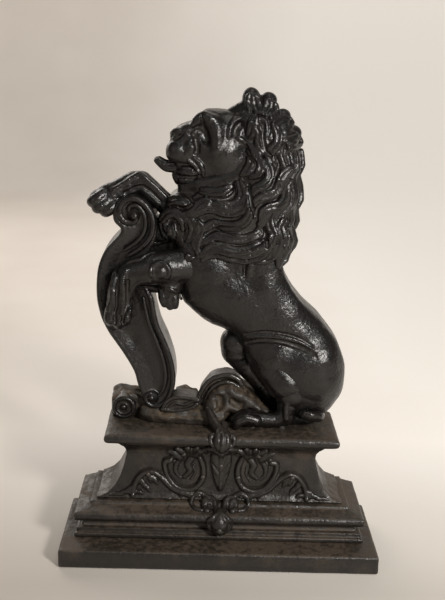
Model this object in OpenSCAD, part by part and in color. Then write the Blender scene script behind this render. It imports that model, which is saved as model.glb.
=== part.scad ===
// Cast-iron lion door stop: a crouching lion with a paw on an S-scroll, on a moulded plinth.
// Origin: middle of the underside of the base plate. +X right, +Y to the flat back, +Z up.

/* [Plinth] */
// Width of the base plate
plate_w = 250; // [200:1:320]
// Depth of the base plate, front edge to flat back
plate_d = 90; // [72:1:120]
// Thickness of the base plate
plate_t = 15; // [10:0.5:22]
// Corner radius of the base plate
plate_corner = 4; // [2:0.5:8]
// Step from the plate's end to the moulding's foot
tier_set_x = 10; // [6:0.5:20]
// Step from the plate's front to the moulding's foot
tier_set_y = 21; // [12:0.5:30]
// Height of the moulding
tier_h = 26.4; // [20:0.2:34]
// Height of the hollow-sided pedestal
pedestal_h = 50.6; // [40:0.2:64]
// Width across the pedestal's neck
neck_w = 152; // [125:1:185]
// Thickness of the cap slab
cap_t = 9; // [7:0.5:14]
// Overhang of the cap beyond the neck, at each end
cap_over_x = 16.5; // [10:0.5:24]
// Overhang of the cap beyond the neck, in front
cap_over_y = 17; // [10:0.5:22]
// Wall of the hollow castings at their thinnest
wall = 6; // [4:0.5:9]

/* [Figure] */
// Height of the figure above the cap
figure_h = 267; // [210:1:330]
// Depth of the scroll, its front face to the flat back
scroll_d = 31; // [24:0.5:36]
// Height of the scroll's raised edging
rim_t = 2.5; // [1.5:0.1:4]
// Radius of the roll at the foot of the scroll
roll_r = 9.5; // [7:0.5:11]
// Depth of the pocket behind the lion's body
pocket_d = 30; // [20:1:33]
// Thickness of the cover over that pocket
cover_t = 3; // [2:0.5:5]

/* [Ornament] */
// Thickness of the applied ornament
ornament_t = 4; // [2.5:0.5:7]
// Width of the scrollwork's stems
stem_w = 3.8; // [3:0.1:4.6]

/* [Fixings] */
// Diameter of the two tie bolts
bolt_d = 8; // [6:0.5:10]
// Diameter of a tie bolt's head
bolt_head_d = 14; // [12:0.5:18]
// Diameter of the dowel pins
pin_d = 5; // [3:0.5:6]
// Diameter of the ornament rivets
rivet_d = 2.6; // [2:0.1:4]
// Diameter of the cover screws
screw_d = 4; // [3:0.5:5]
// Gap between two castings where one is let into the other
seat_gap = 0.15; // [0.05:0.05:0.5]
// Gap round a bolt, pin, rivet or screw
hole_gap = 0.1; // [0.05:0.05:0.4]

/* [Hidden] */
$fn = 48;
soft_fn = 20;
back_y = plate_d / 2;
z_tier = plate_t;
z_ped = z_tier + tier_h;
z_cap = z_ped + pedestal_h;
cap_top = z_cap + cap_t;
tier_f = -back_y + tier_set_y;
tier_x = plate_w / 2 - tier_set_x;
neck_x = neck_w / 2;
neck_f = tier_f + 23;
cap_x = neck_x + cap_over_x;
cap_f = neck_f - cap_over_y;
foot_flare_x = tier_x - 12.5 - neck_x;
foot_flare_y = 8;
top_flare_x = 6;
top_flare_y = 9;

// The figure is drawn at its usual size and fitted to the cap and to its own height.
kx = cap_x / 92.5;
ky = (back_y - cap_f) / 63;
kz = figure_h / 267;
kr = min(kx, ky, kz);
scroll_f = back_y - scroll_d * ky;
function fx(x) = x * kx;
function fy(y) = back_y - (45 - y) * ky;
function fz(z) = cap_top + (z - 101) * kz;
function fxz(p) = [fx(p[0]), fz(p[1])];
function fxzs(l) = [for (p = l) fxz(p)];
function reversed(l) = [for (i = [len(l) - 1 : -1 : 0]) l[i]];

// A smooth curve through hand-set points, closed or open.
function cr(a, b, c, d, t) =
    0.5 * (2 * b + (c - a) * t + (2 * a - 5 * b + 4 * c - d) * t * t + (3 * b - a - 3 * c + d) * t * t * t);
function smooth_closed(l, n) =
    let (m = len(l))
    [for (i = [0 : m - 1]) for (j = [0 : n - 1])
        cr(l[(i + m - 1) % m], l[i], l[(i + 1) % m], l[(i + 2) % m], j / n)];
function smooth_open(l, n) =
    let (m = len(l))
    concat([for (i = [0 : m - 2]) for (j = [0 : n - 1])
        cr(l[max(i - 1, 0)], l[i], l[i + 1], l[min(i + 2, m - 1)], j / n)], [l[m - 1]]);
function unit(v) = v / norm(v);
function side_of(l, i) =
    let (t = unit(l[min(i + 1, len(l) - 1)] - l[max(i - 1, 0)])) [-t[1], t[0]];
function drawn_in(l, c, f) = [for (p = l) c + (p - c) * f];

module along_y(y0, y1) translate([0, y1, 0]) rotate([90, 0, 0]) linear_extrude(y1 - y0) children();
module along_x(x0, x1) translate([x0, 0, 0]) rotate([90, 0, 90]) linear_extrude(x1 - x0) children();
module pin_z(x, y, z0, z1, r) translate([x, y, z0]) cylinder(h = z1 - z0, r = r);
module pin_y(x, z, y0, y1, r) translate([x, y1, z]) rotate([90, 0, 0]) cylinder(h = y1 - y0, r = r);

// A band of even width along a path, with round ends.
function round_end(p, n, t, r) = [for (a = [30 : 30 : 150]) p + r * (n * cos(a) + t * sin(a))];
module band(path, w) {
    m = len(path) - 1;
    n0 = side_of(path, 0);
    n1 = side_of(path, m);
    polygon(concat(
        [for (i = [0 : m]) path[i] + side_of(path, i) * w / 2],
        round_end(path[m], n1, [n1[1], -n1[0]], w / 2),
        reversed([for (i = [0 : m]) path[i] - side_of(path, i) * w / 2]),
        round_end(path[0], -n0, [-n0[1], n0[0]], w / 2)));
}

// Soft masses: each group of balls [x, y, z, r] is wrapped in one skin.
module mass(groups, grow = 0)
    for (g = groups) hull() for (b = g)
        translate([fx(b[0]), fy(b[1]), fz(b[2])]) sphere(b[3] * kr + grow, $fn = soft_fn);
function chain(l) = [for (i = [0 : len(l) - 2]) [l[i], l[i + 1]]];
module flat_backed() intersection() {
    children();
    translate([-plate_w, -plate_d, cap_top]) cube([2 * plate_w, plate_d + back_y, 2 * figure_h]);
}

// ---------------------------------------------------------------- plinth profiles
function bead(c, z, r) = [for (a = [-90 : 15 : 90]) [c - r * cos(a), z + r * sin(a)]];
tier_front = concat(
    [[back_y, 0], [tier_f, 0], [tier_f, 4], [tier_f + 3, 4], [tier_f + 3, 7.5],
     [tier_f + 7, 7.5], [tier_f + 8, 10.7], [tier_f + 7, 13.9]],
    bead(tier_f + 3, 18, 4),
    [[tier_f + 4, 22.2], [tier_f + 12, 24.2], [tier_f + 12.5, tier_h], [back_y, tier_h]]);
tier_side = concat(
    [[tier_x, 0], [tier_x, 4], [tier_x - 1.5, 4], [tier_x - 1.5, 7.5],
     [tier_x - 5, 7.5], [tier_x - 6, 10.7], [tier_x - 5, 13.9]],
    [for (p = bead(-tier_x + 3, 18, 4)) [-p[0], p[1]]],
    [[tier_x - 4, 22.2], [tier_x - 11, 24.2], [tier_x - 11.5, tier_h]]);
// [share of the foot's flare, share of the top's flare, share of the height]
flare = [[1, 0, 0], [0.79, 0, 0.03], [0.53, 0, 0.09], [0.32, 0, 0.2], [0.17, 0, 0.36], [0.06, 0, 0.55],
         [0, 0, 0.72], [0, 0.08, 0.79], [0, 0.36, 0.86], [0, 0.8, 0.93], [0, 1, 0.96], [0, 1, 1]];
function ped_front(out) = [for (f = flare)
    [neck_f - f[0] * foot_flare_y - f[1] * top_flare_y - out, f[2] * pedestal_h]];
ped_side = [for (f = flare) [neck_x + f[0] * foot_flare_x + f[1] * top_flare_x, f[2] * pedestal_h]];
cap_front = concat([[back_y, 0]], bead(cap_f + cap_t / 2, cap_t / 2, cap_t / 2), [[back_y, cap_t]]);
cap_side = [for (p = bead(-cap_x + cap_t / 2, cap_t / 2, cap_t / 2)) [-p[0], p[1]]];

// A moulding that returns round both ends, its mitres where the two profiles meet.
module returned(z, front, side) translate([0, 0, z]) intersection() {
    along_x(-plate_w, plate_w) polygon(front);
    along_y(-plate_d, back_y) polygon(concat(side, reversed([for (p = side) [-p[0], p[1]]])));
}
// What lies within ornament_t in front of a profile, for ornament to be cut from.
module skin(z, profile, proud) translate([0, 0, z]) along_x(-plate_w / 2, plate_w / 2)
    polygon(concat([for (p = profile) [p[0] - seat_gap, p[1]]],
                   reversed([for (p = profile) [p[0] - seat_gap - proud, p[1]]])));

// ---------------------------------------------------------------- fixings
bolts = [[fx(-55), fy(31), fz(146)], [fx(64), fy(24), fz(130)]];
module bolt_holes(grow = 0) for (b = bolts) pin_z(b[0], b[1], plate_t / 2, b[2] + 1, bolt_d / 2 + hole_gap);
head_h = 5;
washer_t = 1.6;
seat_z = head_h + washer_t + 1;
module tie_bolts() color("dimgray") for (b = bolts) {
    pin_z(b[0], b[1], seat_z - washer_t, b[2], bolt_d / 2);
    translate([b[0], b[1], seat_z - washer_t - head_h]) cylinder(h = head_h, r = bolt_head_d / 2, $fn = 6);
}
module tie_washers() color("gray") for (b = bolts) difference() {
    pin_z(b[0], b[1], seat_z - washer_t, seat_z, bolt_head_d / 2 + 1);
    pin_z(b[0], b[1], 0, plate_t, bolt_d / 2 + hole_gap);
}
// Pins along Y join the limbs to what they rest on: [x, z, y0, y1].
pins_y = [[fx(-82), fz(196), fy(4), fy(24)], [fx(-28), fz(232), fy(4), fy(22)],
          [fx(-58), fz(270), fy(22), fy(38)]];
// Upright pins set the roll and the two hind feet on the cap: [x, y, z0, z1].
pins_z = [[fx(-79), fy(30), cap_top - 5, fz(108)], [fx(48), fy(6), cap_top - 5, fz(106)],
          [fx(24), fy(6), cap_top - 5, fz(106)]];
module pins(grow) {
    for (p = pins_y) pin_y(p[0], p[1], p[2] - grow, p[3] + grow, pin_d / 2 + grow);
    for (p = pins_z) pin_z(p[0], p[1], p[2] - grow, p[3] + grow, pin_d / 2 + grow);
}
module dowel_pins() color("dimgray") pins(0);

// ---------------------------------------------------------------- plinth
module base_plate() color("#2b2a29") difference() {
    linear_extrude(plate_t) {
        x = plate_w / 2 - plate_corner;
        square([2 * x, plate_d], center = true);
        square([plate_w, plate_d - 2 * plate_corner], center = true);
        for (i = [-1, 1], j = [-1, 1]) translate([i * x, j * (plate_d / 2 - plate_corner)]) circle(plate_corner);
    }
    bolt_holes();
    for (b = bolts) pin_z(b[0], b[1], -1, seat_z, bolt_head_d / 2 + 1.5);
    // Lightening pocket under the hollow moulding, kept clear of the bolts' seats.
    translate([bolts[0][0] + 16, tier_f + 12.5 + wall, wall])
        cube([bolts[1][0] - bolts[0][0] - 32, back_y - 2 * wall - tier_f - 12.5, plate_t]);
}
module moulding_form() returned(z_tier, tier_front, tier_side);
module pedestal_form() returned(z_ped, concat([[back_y, 0]], ped_front(0), [[back_y, pedestal_h]]), ped_side);
module lower_moulding() color("#302e2c") difference() {
    moulding_form();
    translate([-tier_x + 20, tier_f + 12.5 + wall, z_tier - 1])
        cube([2 * tier_x - 40, back_y - 2 * wall - tier_f - 12.5, tier_h + 2]);
    rivet_holes();
}
module pedestal() color("#2d2b29") difference() {
    pedestal_form();
    translate([-neck_x + wall, neck_f + wall, z_ped - 1])
        cube([neck_w - 2 * wall, back_y - neck_f - 2 * wall, pedestal_h + 2]);
    rivet_holes();
}
module cap_slab() color("#2f2d2a") difference() {
    returned(z_cap, cap_front, cap_side);
    bolt_holes();
    pins(hole_gap);
    rivet_holes();
}

// ---------------------------------------------------------------- applied ornament
function ped_pt(p) = [p[0] * neck_x / 76, z_ped + p[1] * pedestal_h / 50.6];
ring = smooth_open([for (p = [[22, 38.5], [17, 34.5], [13.6, 26], [14.4, 16.5], [20, 10], [28, 8.4], [36, 11.4],
    [41.6, 18], [44.6, 25], [44, 31], [39.6, 32.6]]) ped_pt(p)], 4);
stem = smooth_open([for (p = [[23, 7], [30, 4.6], [37, 6.4], [43.4, 11.6], [49, 18], [55, 21.6], [61.4, 20.4],
    [66.4, 15], [68.4, 8.4]]) ped_pt(p)], 4);
leaf = smooth_closed([for (p = [[15, 41], [22, 44], [32, 42], [42, 39], [38, 35], [30, 36], [24, 34], [20, 38]])
    ped_pt(p)], 4);
module scrollwork() intersection() {
    along_y(-plate_d, back_y) { band(stem, stem_w); band(ring, stem_w); polygon(leaf); }
    skin(z_ped, [for (p = ped_front(0)) if (p[1] > 2.6 && p[1] < pedestal_h * 0.95) p], ornament_t);
}
module right_scrollwork() color("#3a3733") difference() { scrollwork(); rivet_holes(); }
module left_scrollwork() color("#3a3733") difference() { mirror([1, 0, 0]) scrollwork(); rivet_holes(); }

pendant = smooth_closed([for (p = [[0, 8], [4, 15], [7.5, 25], [9, 33], [6, 40], [0, 38], [-6, 40], [-9, 33],
    [-7.5, 25], [-4, 15]]) ped_pt(p)], 4);
module centre_pendant() color("#3a3733") difference() {
    intersection() {
        along_y(-plate_d, back_y) polygon(pendant);
        skin(z_ped, [for (p = ped_front(0)) if (p[1] > 2.6 && p[1] < pedestal_h * 0.95) p], ornament_t + 1);
    }
    rivet_holes();
}
cap_leaf_w = 16;
module cap_leaf() color("#3a3733") difference() {
    intersection() {
        translate([0, 0, z_cap]) along_x(-cap_leaf_w / 2, cap_leaf_w / 2)
            difference() {
                translate([cap_f - 2.6, 0.4]) square([16, cap_t + 2.6]);
                polygon([for (p = cap_front) [p[0] - (p[0] < back_y ? seat_gap : 0), p[1]]]);
                translate([cap_f, 0]) square([20, cap_t + seat_gap]);
            }
        along_y(-plate_d, back_y) translate([0, z_cap + cap_t / 2 + 2]) circle(cap_leaf_w / 2);
    }
    rivet_holes();
}
whisker = smooth_open([[3.5, z_tier + 17], [8, z_tier + 23.5], [15, z_tier + 30.6], [21, z_tier + 29],
    [21.5, z_tier + 25.2]], 4);
module base_boss() color("#3a3733") difference() {
    union() {
        pin_y(0, z_tier + 13.9, tier_f - 5, tier_f + 6.8, 6.5);
        translate([0, tier_f - 3.5, z_tier + 13.9]) sphere(6.4);
    }
    moulding_form();
    rivet_holes();
}
// A strip that climbs from the moulding's slope on to the foot of the pedestal, ornament_t thick.
climb = [[tier_f + 4, 22.2], [tier_f + 12, 24.2], [tier_f + 12.5, tier_h], [neck_f - foot_flare_y, tier_h],
    [neck_f - foot_flare_y + 1.7, tier_h + 1.5], [neck_f - foot_flare_y + 3.8, tier_h + 4.6],
    [neck_f - foot_flare_y + 5, tier_h + 8]];
module whiskers() color("#3a3733") difference() {
    for (m = [0, 1]) mirror([m, 0, 0]) intersection() {
        along_y(-plate_d, back_y) band(whisker, stem_w);
        translate([0, 0, z_tier]) along_x(0.5, 40) polygon(concat(climb,
            [[neck_f - foot_flare_y + 1, tier_h + 8], [tier_f + 8, tier_h + 3], [tier_f + 3.6, 25]]));
    }
    moulding_form();
    pedestal_form();
}
// Rivets through the ornament into the plinth: [x, z, y of the head, length].
function ped_y(t) = neck_f - lookup(t * 100, [for (f = flare) [f[2] * 100, f[0] * foot_flare_y + f[1] * top_flare_y]]);
function on_ped(p) = let (q = ped_pt(p)) [q[0], q[1], ped_y(p[1] / 50.6) - ornament_t - 1, ornament_t + 5.4];
rivets = concat(
    [for (p = [[14.2, 20], [58, 21.2], [30, 39]]) on_ped(p)], [for (p = [[-14.2, 20], [-58, 21.2], [-30, 39]]) on_ped(p)],
    [on_ped([0, 30]) - [0, 0, 1, -1]],
    [[0, z_cap + 3.2, cap_f - 3.4, 9], [0, z_tier + 13.9, tier_f - 10.6, 22]]);
module rivet_holes() for (r = rivets) pin_y(r[0], r[1], r[2] - 9, r[2] + r[3] + hole_gap, rivet_d / 2 + hole_gap);
module ornament_rivets() color("dimgray") for (r = rivets) pin_y(r[0], r[1], r[2], r[2] + r[3], rivet_d / 2);

// ---------------------------------------------------------------- rocky ground
rock_plan = smooth_closed([[fx(-68), fy(22)], [fx(-60), fy(11)], [fx(-40), fy(8)], [fx(-20), fy(6)], [fx(-6), fy(5)],
    [fx(1), fy(9)], [fx(2), fy(17)], [fx(14), fy(20)], [fx(40), fy(20)], [fx(58), fy(22)], [fx(60), fy(34)],
    [fx(40), fy(36)], [fx(-30), fy(36)], [fx(-62), fy(36)]], 4);
module rock_ground() color("#4a4034") difference() {
    union() {
        translate([0, 0, cap_top]) linear_extrude(6 * kz) polygon(rock_plan);
        translate([0, 0, cap_top]) linear_extrude(11 * kz) polygon([[fx(-66), fy(17)], [fx(-52), fy(12)],
            [fx(-20), fy(13)], [fx(-14), fy(19)], [fx(-14), back_y], [fx(-66), back_y]]);
        along_y(fy(31), back_y) polygon(fxzs([[-37, 105], [-37, 118], [-30, 120], [-22, 118], [-22, 105]]));
        along_y(fy(20), back_y) polygon(smooth_closed(fxzs([[-15, 102], [-14, 118], [-5, 129], [6, 133],
            [16, 130], [28, 121], [40, 110], [46, 102], [15, 101]]), 4));
        translate([fx(-6), fy(14), fz(111)]) sphere(8 * kr);
    }
    bolt_holes();
    mass(hind_near, seat_gap);
    translate([-plate_w, -plate_d, 0]) cube([2 * plate_w, 2 * plate_d, cap_top]);
    translate([-plate_w, back_y, 0]) cube([2 * plate_w, plate_d, 4 * figure_h]);
    mass(body_groups, seat_gap);
    mass(tail_groups, seat_gap);
}
module rock_arch() color("#2c2a28") difference() {
    along_y(fy(22), fy(40)) band(smooth_open(fxzs([[-19, 112], [-17, 122], [-11, 131], [-3, 136], [6, 137.4],
        [13, 136]]), 4), 5 * kr);
    mass(far_hind, seat_gap);
    along_y(fy(19), back_y) polygon(smooth_closed(fxzs([[-15.2, 102], [-14.3, 118.2], [-5, 129.3], [6, 133.3],
        [16, 130.3], [28, 121.3], [40, 110.3], [46, 102], [15, 101]]), 4));
    translate([fx(-22), fy(18), cap_top]) cube([fx(8), 40 * ky, 11 * kz + seat_gap]);
}
module ground_leaf() color("#33302c") difference() {
    along_y(fy(9), fy(30)) polygon(smooth_closed(fxzs([[-48, 112.5], [-44, 120], [-36, 124], [-27, 123], [-22, 120],
        [-25, 116], [-33, 113.6], [-40, 112.4]]), 4));
    translate([fx(-66), fy(9) - 5, cap_top - 5]) cube([fx(60), 50 * ky, 11 * kz + 5 + seat_gap]);
    along_y(fy(5), back_y) polygon(scroll_outline_grown);
    translate([fx(-30), fy(6), fz(121)]) rotate([-90, 0, 0]) cylinder(h = 26 * ky, r = 1.2);
}

// ---------------------------------------------------------------- scroll
scroll_pts = [[-66, 124], [-63, 116], [-56, 112], [-48, 113.5], [-42.5, 120], [-39, 129.5], [-38.3, 138],
    [-39.7, 149], [-43, 160], [-47.6, 171], [-52, 181], [-55, 192.5], [-57, 203], [-62, 214], [-64, 226],
    [-61, 238], [-56, 250], [-55, 262], [-60, 275], [-68, 282], [-76, 283.5], [-84, 280], [-88.5, 272],
    [-88, 263], [-83, 257.5], [-84, 253], [-91, 245.5], [-97, 236], [-101, 222], [-101.5, 207], [-100, 195],
    [-97, 184], [-92, 174], [-85, 164], [-77, 152], [-71.5, 141.6], [-69, 133]];
scroll_outline = smooth_closed(fxzs(scroll_pts), 3);
scroll_outline_grown = [for (i = [0 : len(scroll_outline) - 1]) let (m = len(scroll_outline),
    t = unit(scroll_outline[(i + 1) % m] - scroll_outline[(i + m - 1) % m]))
    scroll_outline[i] + [t[1], -t[0]] * seat_gap];
lower_rim = smooth_open(fxzs([[-55, 122], [-55.6, 125.6], [-59.6, 127], [-63, 123], [-62.4, 117.6], [-57, 114],
    [-50, 115], [-45, 121], [-42, 130], [-41.3, 138], [-42.8, 149], [-46, 160], [-50.6, 171], [-55, 181],
    [-58, 191]]), 3);
upper_rim = smooth_open(fxzs([[-61, 250], [-58.4, 256], [-58.2, 264], [-62, 273], [-69, 279], [-77, 280], [-84, 275],
    [-85.4, 267.4], [-81, 261.4], [-74.4, 261.4], [-71, 266.4], [-73, 271]]), 3);
scroll_c = [fx(-79), fz(200)];
scroll_cover_pts = fxzs([[-64, 158], [-56, 166], [-60, 182], [-66, 198], [-71, 214], [-71, 230], [-70, 243],
    [-78, 246], [-89, 238], [-93.5, 222], [-94, 206], [-92, 192], [-86, 177], [-77, 165]]);
scroll_cover_outline = smooth_closed(scroll_cover_pts, 3);
scroll_screws = [for (i = [0, 7]) scroll_c + (scroll_cover_pts[i] - scroll_c) * 0.89];
module scroll() color("#252423") difference() {
    union() {
        along_y(scroll_f, back_y) polygon(scroll_outline);
        along_y(scroll_f - rim_t, scroll_f + 1) { band(lower_rim, 3.6 * kr); band(upper_rim, 3.4 * kr); }
    }
    translate([-plate_w, -plate_d, 0]) cube([2 * plate_w, 2 * plate_d, cap_top + 11 * kz]);
    bolt_holes();
    pins(hole_gap);
    covered_pocket(scroll_cover_outline, scroll_c, scroll_d * ky - wall - 3);
    screw_cuts(scroll_screws, screw_d / 2 + hole_gap, back_y - cover_t - 9);
}
module scroll_cover() color("#24292b") cover(scroll_cover_outline, scroll_screws);
module scroll_roll() color("#2b2927") difference() {
    z = cap_top + roll_r * kr;
    pin_y(fx(-79.5), z, fy(16), back_y, roll_r * kr);
    pin_y(fx(-79.5), z, fy(15), fy(18), (roll_r - 2.6) * kr);
    pins(hole_gap);
}

// ---------------------------------------------------------------- lion
body_groups = [
    [[-14, 23, 232, 20], [24, 23, 236, 19], [-12, 23, 210, 20], [30, 23, 214, 19]],
    [[-12, 23, 210, 20], [30, 23, 214, 19], [0, 23, 199, 20], [60, 23, 174, 21]],
    [[0, 23, 199, 20], [60, 23, 174, 21], [30, 23, 170, 16], [70, 22, 152, 25]],
    [[70, 22, 152, 27], [71, 22, 132, 26], [56, 18, 144, 21]],
    [[56, 18, 144, 21], [52, 18, 142, 20], [33, 11, 161, 12]],
    [[33, 11, 161, 12], [27, 10, 162, 11], [44, 12, 142, 14]],
    [[71, 22, 132, 26], [78, 25, 114, 13], [62, 25, 112, 12]],
    [[12, 24, 240, 17], [14, 24, 290, 15]],
    [[14, 24, 290, 15], [10, 24, 318, 14]],
];
hind_near = chain([[27, 9, 158, 9.5], [31, 8, 142, 8.5], [44, 7, 124, 7.5], [55, 7, 110, 7.5], [52, 7, 107.5, 7],
    [36, 6, 107, 6], [24, 6, 107, 6.5], [15, 6, 107.5, 7], [13, 9, 107, 6]]);
far_hind = chain([[20, 36, 163, 11.5], [12, 36, 165, 11.5], [8, 36, 160, 11], [10, 36, 153, 9.5],
    [18, 36, 143, 8], [26, 36, 134, 8], [34, 36, 124, 7.5], [40, 36, 112, 7]]);
tail_groups = chain([[84, 15, 107.5, 5.4], [83, 11, 107.5, 5.4], [80, 7.5, 107.8, 5.4], [76, 5, 108.4, 5.4],
    [72, 4, 109.4, 5.2], [69, 3.6, 110.4, 5], [66.6, 3.4, 111.6, 4.6], [65, 3.4, 113, 4.2], [64, 3.6, 114.4, 3.6]]);
fore_near = concat(chain([[-30, 8, 236, 13], [-38, 6, 226, 13], [-47, 5, 222, 12.5], [-58, 5, 225, 11.5],
    [-68, 5, 225, 11], [-76, 5, 219, 10], [-80, 5, 208, 9.5], [-82, 5, 197, 9.5], [-84, 5, 190, 9]]),
    [[[-41, 7, 212, 8], [-43, 8, 203, 6]]]);
fore_far = concat(chain([[-40, 33, 262, 10], [-50, 33, 274, 9.5], [-58, 33, 284, 9.2], [-66, 33, 291, 9],
    [-72, 33, 291, 9], [-82, 33, 286, 8.6], [-92, 33, 281, 8.4], [-100, 33, 277.5, 8.4]]),
    [[[-96, 31, 273, 6], [-102, 31, 275, 6]]]);
head_groups = [
    [[-12, 23, 337, 12], [-23, 23, 337, 9], [-2, 23, 334, 13]],
    [[-23, 23, 337, 9], [-37, 23, 329, 9], [-30, 23, 322, 12]],
    [[-37, 23, 329, 9], [-39, 23, 318, 11], [-36, 23, 313, 11]],
    [[-36, 23, 313, 11], [-30, 23, 303, 10], [-16, 22, 308, 14]],
    [[-30, 23, 303, 10], [-34, 23, 297, 6.5], [-22, 23, 299, 9]],
    [[-10, 18, 324, 17], [-16, 20, 312, 15], [-2, 20, 310, 14]],
    [[-12, 23, 337, 12], [-10, 16, 326, 14]],
    [[-44, 22, 304, 3.2], [-52, 22, 306, 3]],
    [[-52, 22, 306, 3], [-57, 22, 310, 2.6]],
];
mane_groups = [
    [[18, 24, 325, 24], [28, 24, 318, 26], [8, 22, 330, 20]],
    [[28, 24, 318, 26], [30, 24, 289, 25], [10, 18, 300, 20]],
    [[30, 24, 289, 25], [26, 24, 258, 25], [4, 16, 276, 19]],
    [[26, 24, 258, 25], [-4, 18, 258, 20], [8, 17, 268, 20]],
    [[-4, 18, 258, 20], [-26, 22, 268, 17], [-4, 18, 278, 18]],
    [[-26, 22, 268, 17], [-38, 26, 266, 13], [-30, 26, 282, 9]],
    [[-30, 26, 282, 9], [-14, 22, 288, 13], [4, 20, 292, 16]],
    [[-4, 34, 262, 16], [-24, 34, 268, 12], [4, 34, 304, 15], [-12, 34, 290, 9]],
    [[14, 23, 348, 8], [13.4, 23, 362.4, 4.6]],
    [[24, 23, 345, 9], [26.4, 23, 357, 5.4]],
    [[34, 23, 338, 9], [39.5, 23, 345, 5.6]],
    [[38, 23, 330, 10], [47.5, 23, 333, 5.4]],
];
cover_c = [fx(28), fz(184)];
cover_pts = fxzs([[-10, 226], [8, 232], [24, 229], [37, 211], [52, 190], [66, 170], [74, 152], [70, 135], [60, 133],
    [52, 147], [40, 168], [16, 190], [-5, 206]]);
cover_outline = smooth_closed(cover_pts, 3);
screw_pts = [for (i = [1, 4, 6, 9, 12]) cover_c + (cover_pts[i] - cover_c) * 0.9];

// A pocket from the flat back, with a rebate for its cover.
module covered_pocket(outline, c, deep) {
    along_y(back_y - deep, back_y + 1) polygon(drawn_in(outline, c, 0.8));
    along_y(back_y - cover_t - seat_gap, back_y + 1) polygon(drawn_in(outline, c, 1.004));
}
module screw_cuts(at, r, y0) for (s = at) pin_y(s[0], s[1], y0, back_y + 1, r);
module cover(outline, at) difference() {
    along_y(back_y - cover_t, back_y) polygon(outline);
    screw_cuts(at, screw_d / 2 + hole_gap, back_y - cover_t - 1);
    for (s = at) translate([s[0], back_y - 1.9, s[1]]) rotate([-90, 0, 0])
        cylinder(h = 2, r1 = screw_d / 2 + hole_gap, r2 = screw_d / 2 + 2 + hole_gap);
}

module lion_body() color("#2a2827") difference() {
    flat_backed() mass(body_groups);
    mass(fore_near, seat_gap);
    mass(hind_near, seat_gap);
    mass(far_hind, seat_gap);
    bolt_holes();
    pins(hole_gap);
    covered_pocket(cover_outline, cover_c, pocket_d * ky);
    screw_cuts(screw_pts, screw_d / 2 + hole_gap, back_y - cover_t - 9);
}
module back_cover() color("#24292b") cover(cover_outline, screw_pts);
module cover_screws() color("gray") for (s = concat(screw_pts, scroll_screws)) difference() {
    union() {
        pin_y(s[0], s[1], back_y - cover_t - 8, back_y - 1.9, screw_d / 2);
        translate([s[0], back_y - 1.9, s[1]]) rotate([-90, 0, 0])
            cylinder(h = 1.9, r1 = screw_d / 2, r2 = screw_d / 2 + 1.9);
    }
    translate([s[0] - 5, back_y - 0.8, s[1] - 0.5]) cube([10, 2, 1]);
}
module mane() color("#2d2b2a") difference() {
    flat_backed() mass(mane_groups);
    mass(body_groups, seat_gap);
    mass(head_groups, seat_gap);
    mass(fore_near, seat_gap);
    mass(fore_far, seat_gap);
    pins(hole_gap);
}
module head() color("#292726") difference() {
    flat_backed() mass(head_groups);
    mass(body_groups, seat_gap);
}
module near_foreleg() color("#2a2827") difference() {
    flat_backed() mass(fore_near);
    translate([-plate_w, scroll_f - seat_gap, 0]) cube([plate_w + fx(-50), plate_d, 4 * figure_h]);
    pins(hole_gap);
}
module far_foreleg() color("#2a2827") difference() {
    flat_backed() mass(fore_far);
    along_y(-plate_d, plate_d) polygon(scroll_outline_grown);
    mass(body_groups, seat_gap);
    pins(hole_gap);
}
module near_hind_leg() color("#2a2827") difference() {
    flat_backed() mass(hind_near);
    pins(hole_gap);
}
module far_hind_leg() color("#2a2827") difference() {
    flat_backed() mass(far_hind);
    along_y(fy(19), back_y + 1) polygon(smooth_closed(fxzs([[-15.2, 102], [-14.3, 118.2], [-5, 129.3], [6, 133.3],
        [16, 130.3], [28, 121.3], [40, 110.3], [46, 102], [15, 101]]), 4));
}
module tail() color("#2a2827") difference() {
    flat_backed() mass(tail_groups);
    mass(body_groups, seat_gap);
    mass(hind_near, seat_gap);
    bolt_holes();
}

base_plate();
lower_moulding();
pedestal();
left_scrollwork();
right_scrollwork();
centre_pendant();
cap_leaf();
whiskers();
base_boss();
ornament_rivets();
cap_slab();
rock_ground();
rock_arch();
ground_leaf();
scroll();
scroll_cover();
scroll_roll();
lion_body();
back_cover();
cover_screws();
mane();
head();
near_foreleg();
far_foreleg();
near_hind_leg();
far_hind_leg();
tail();
tie_bolts();
tie_washers();
dowel_pins();
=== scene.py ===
# %% [markdown]
# # A cast-iron lion door stop
# The stop is an assembly of iron castings: a moulded plinth with applied scrollwork, rocky ground, an
# S-scroll, and a lion built up from body, mane, head, four legs and tail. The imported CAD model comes
# first, as a fixed frame: it says where every piece goes and how big the whole is.

# %% Load the frame
import math
import bpy
import bmesh
import numpy as np
from mathutils import Matrix, Vector


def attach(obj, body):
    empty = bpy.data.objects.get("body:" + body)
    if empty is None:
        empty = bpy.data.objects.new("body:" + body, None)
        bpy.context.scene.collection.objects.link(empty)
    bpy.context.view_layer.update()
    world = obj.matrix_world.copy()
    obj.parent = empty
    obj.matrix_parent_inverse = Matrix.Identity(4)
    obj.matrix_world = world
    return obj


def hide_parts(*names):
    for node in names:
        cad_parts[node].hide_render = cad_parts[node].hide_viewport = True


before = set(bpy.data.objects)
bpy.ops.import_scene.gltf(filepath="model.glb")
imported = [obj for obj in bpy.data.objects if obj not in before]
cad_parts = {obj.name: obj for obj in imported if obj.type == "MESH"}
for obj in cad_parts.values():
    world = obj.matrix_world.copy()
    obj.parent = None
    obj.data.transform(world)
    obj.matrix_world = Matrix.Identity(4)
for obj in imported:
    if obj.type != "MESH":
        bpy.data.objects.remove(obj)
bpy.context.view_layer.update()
MM = 0.001

# %% [markdown]
# ## The camera
# It stands in front of the stop, a little to the left, and looks down at it. It comes first because the
# modelling lines below are drawn on flat planes as this camera sees them: a line drawn on one plane is
# slid along its sight lines on to the iron that lies nearer or further away.

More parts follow.
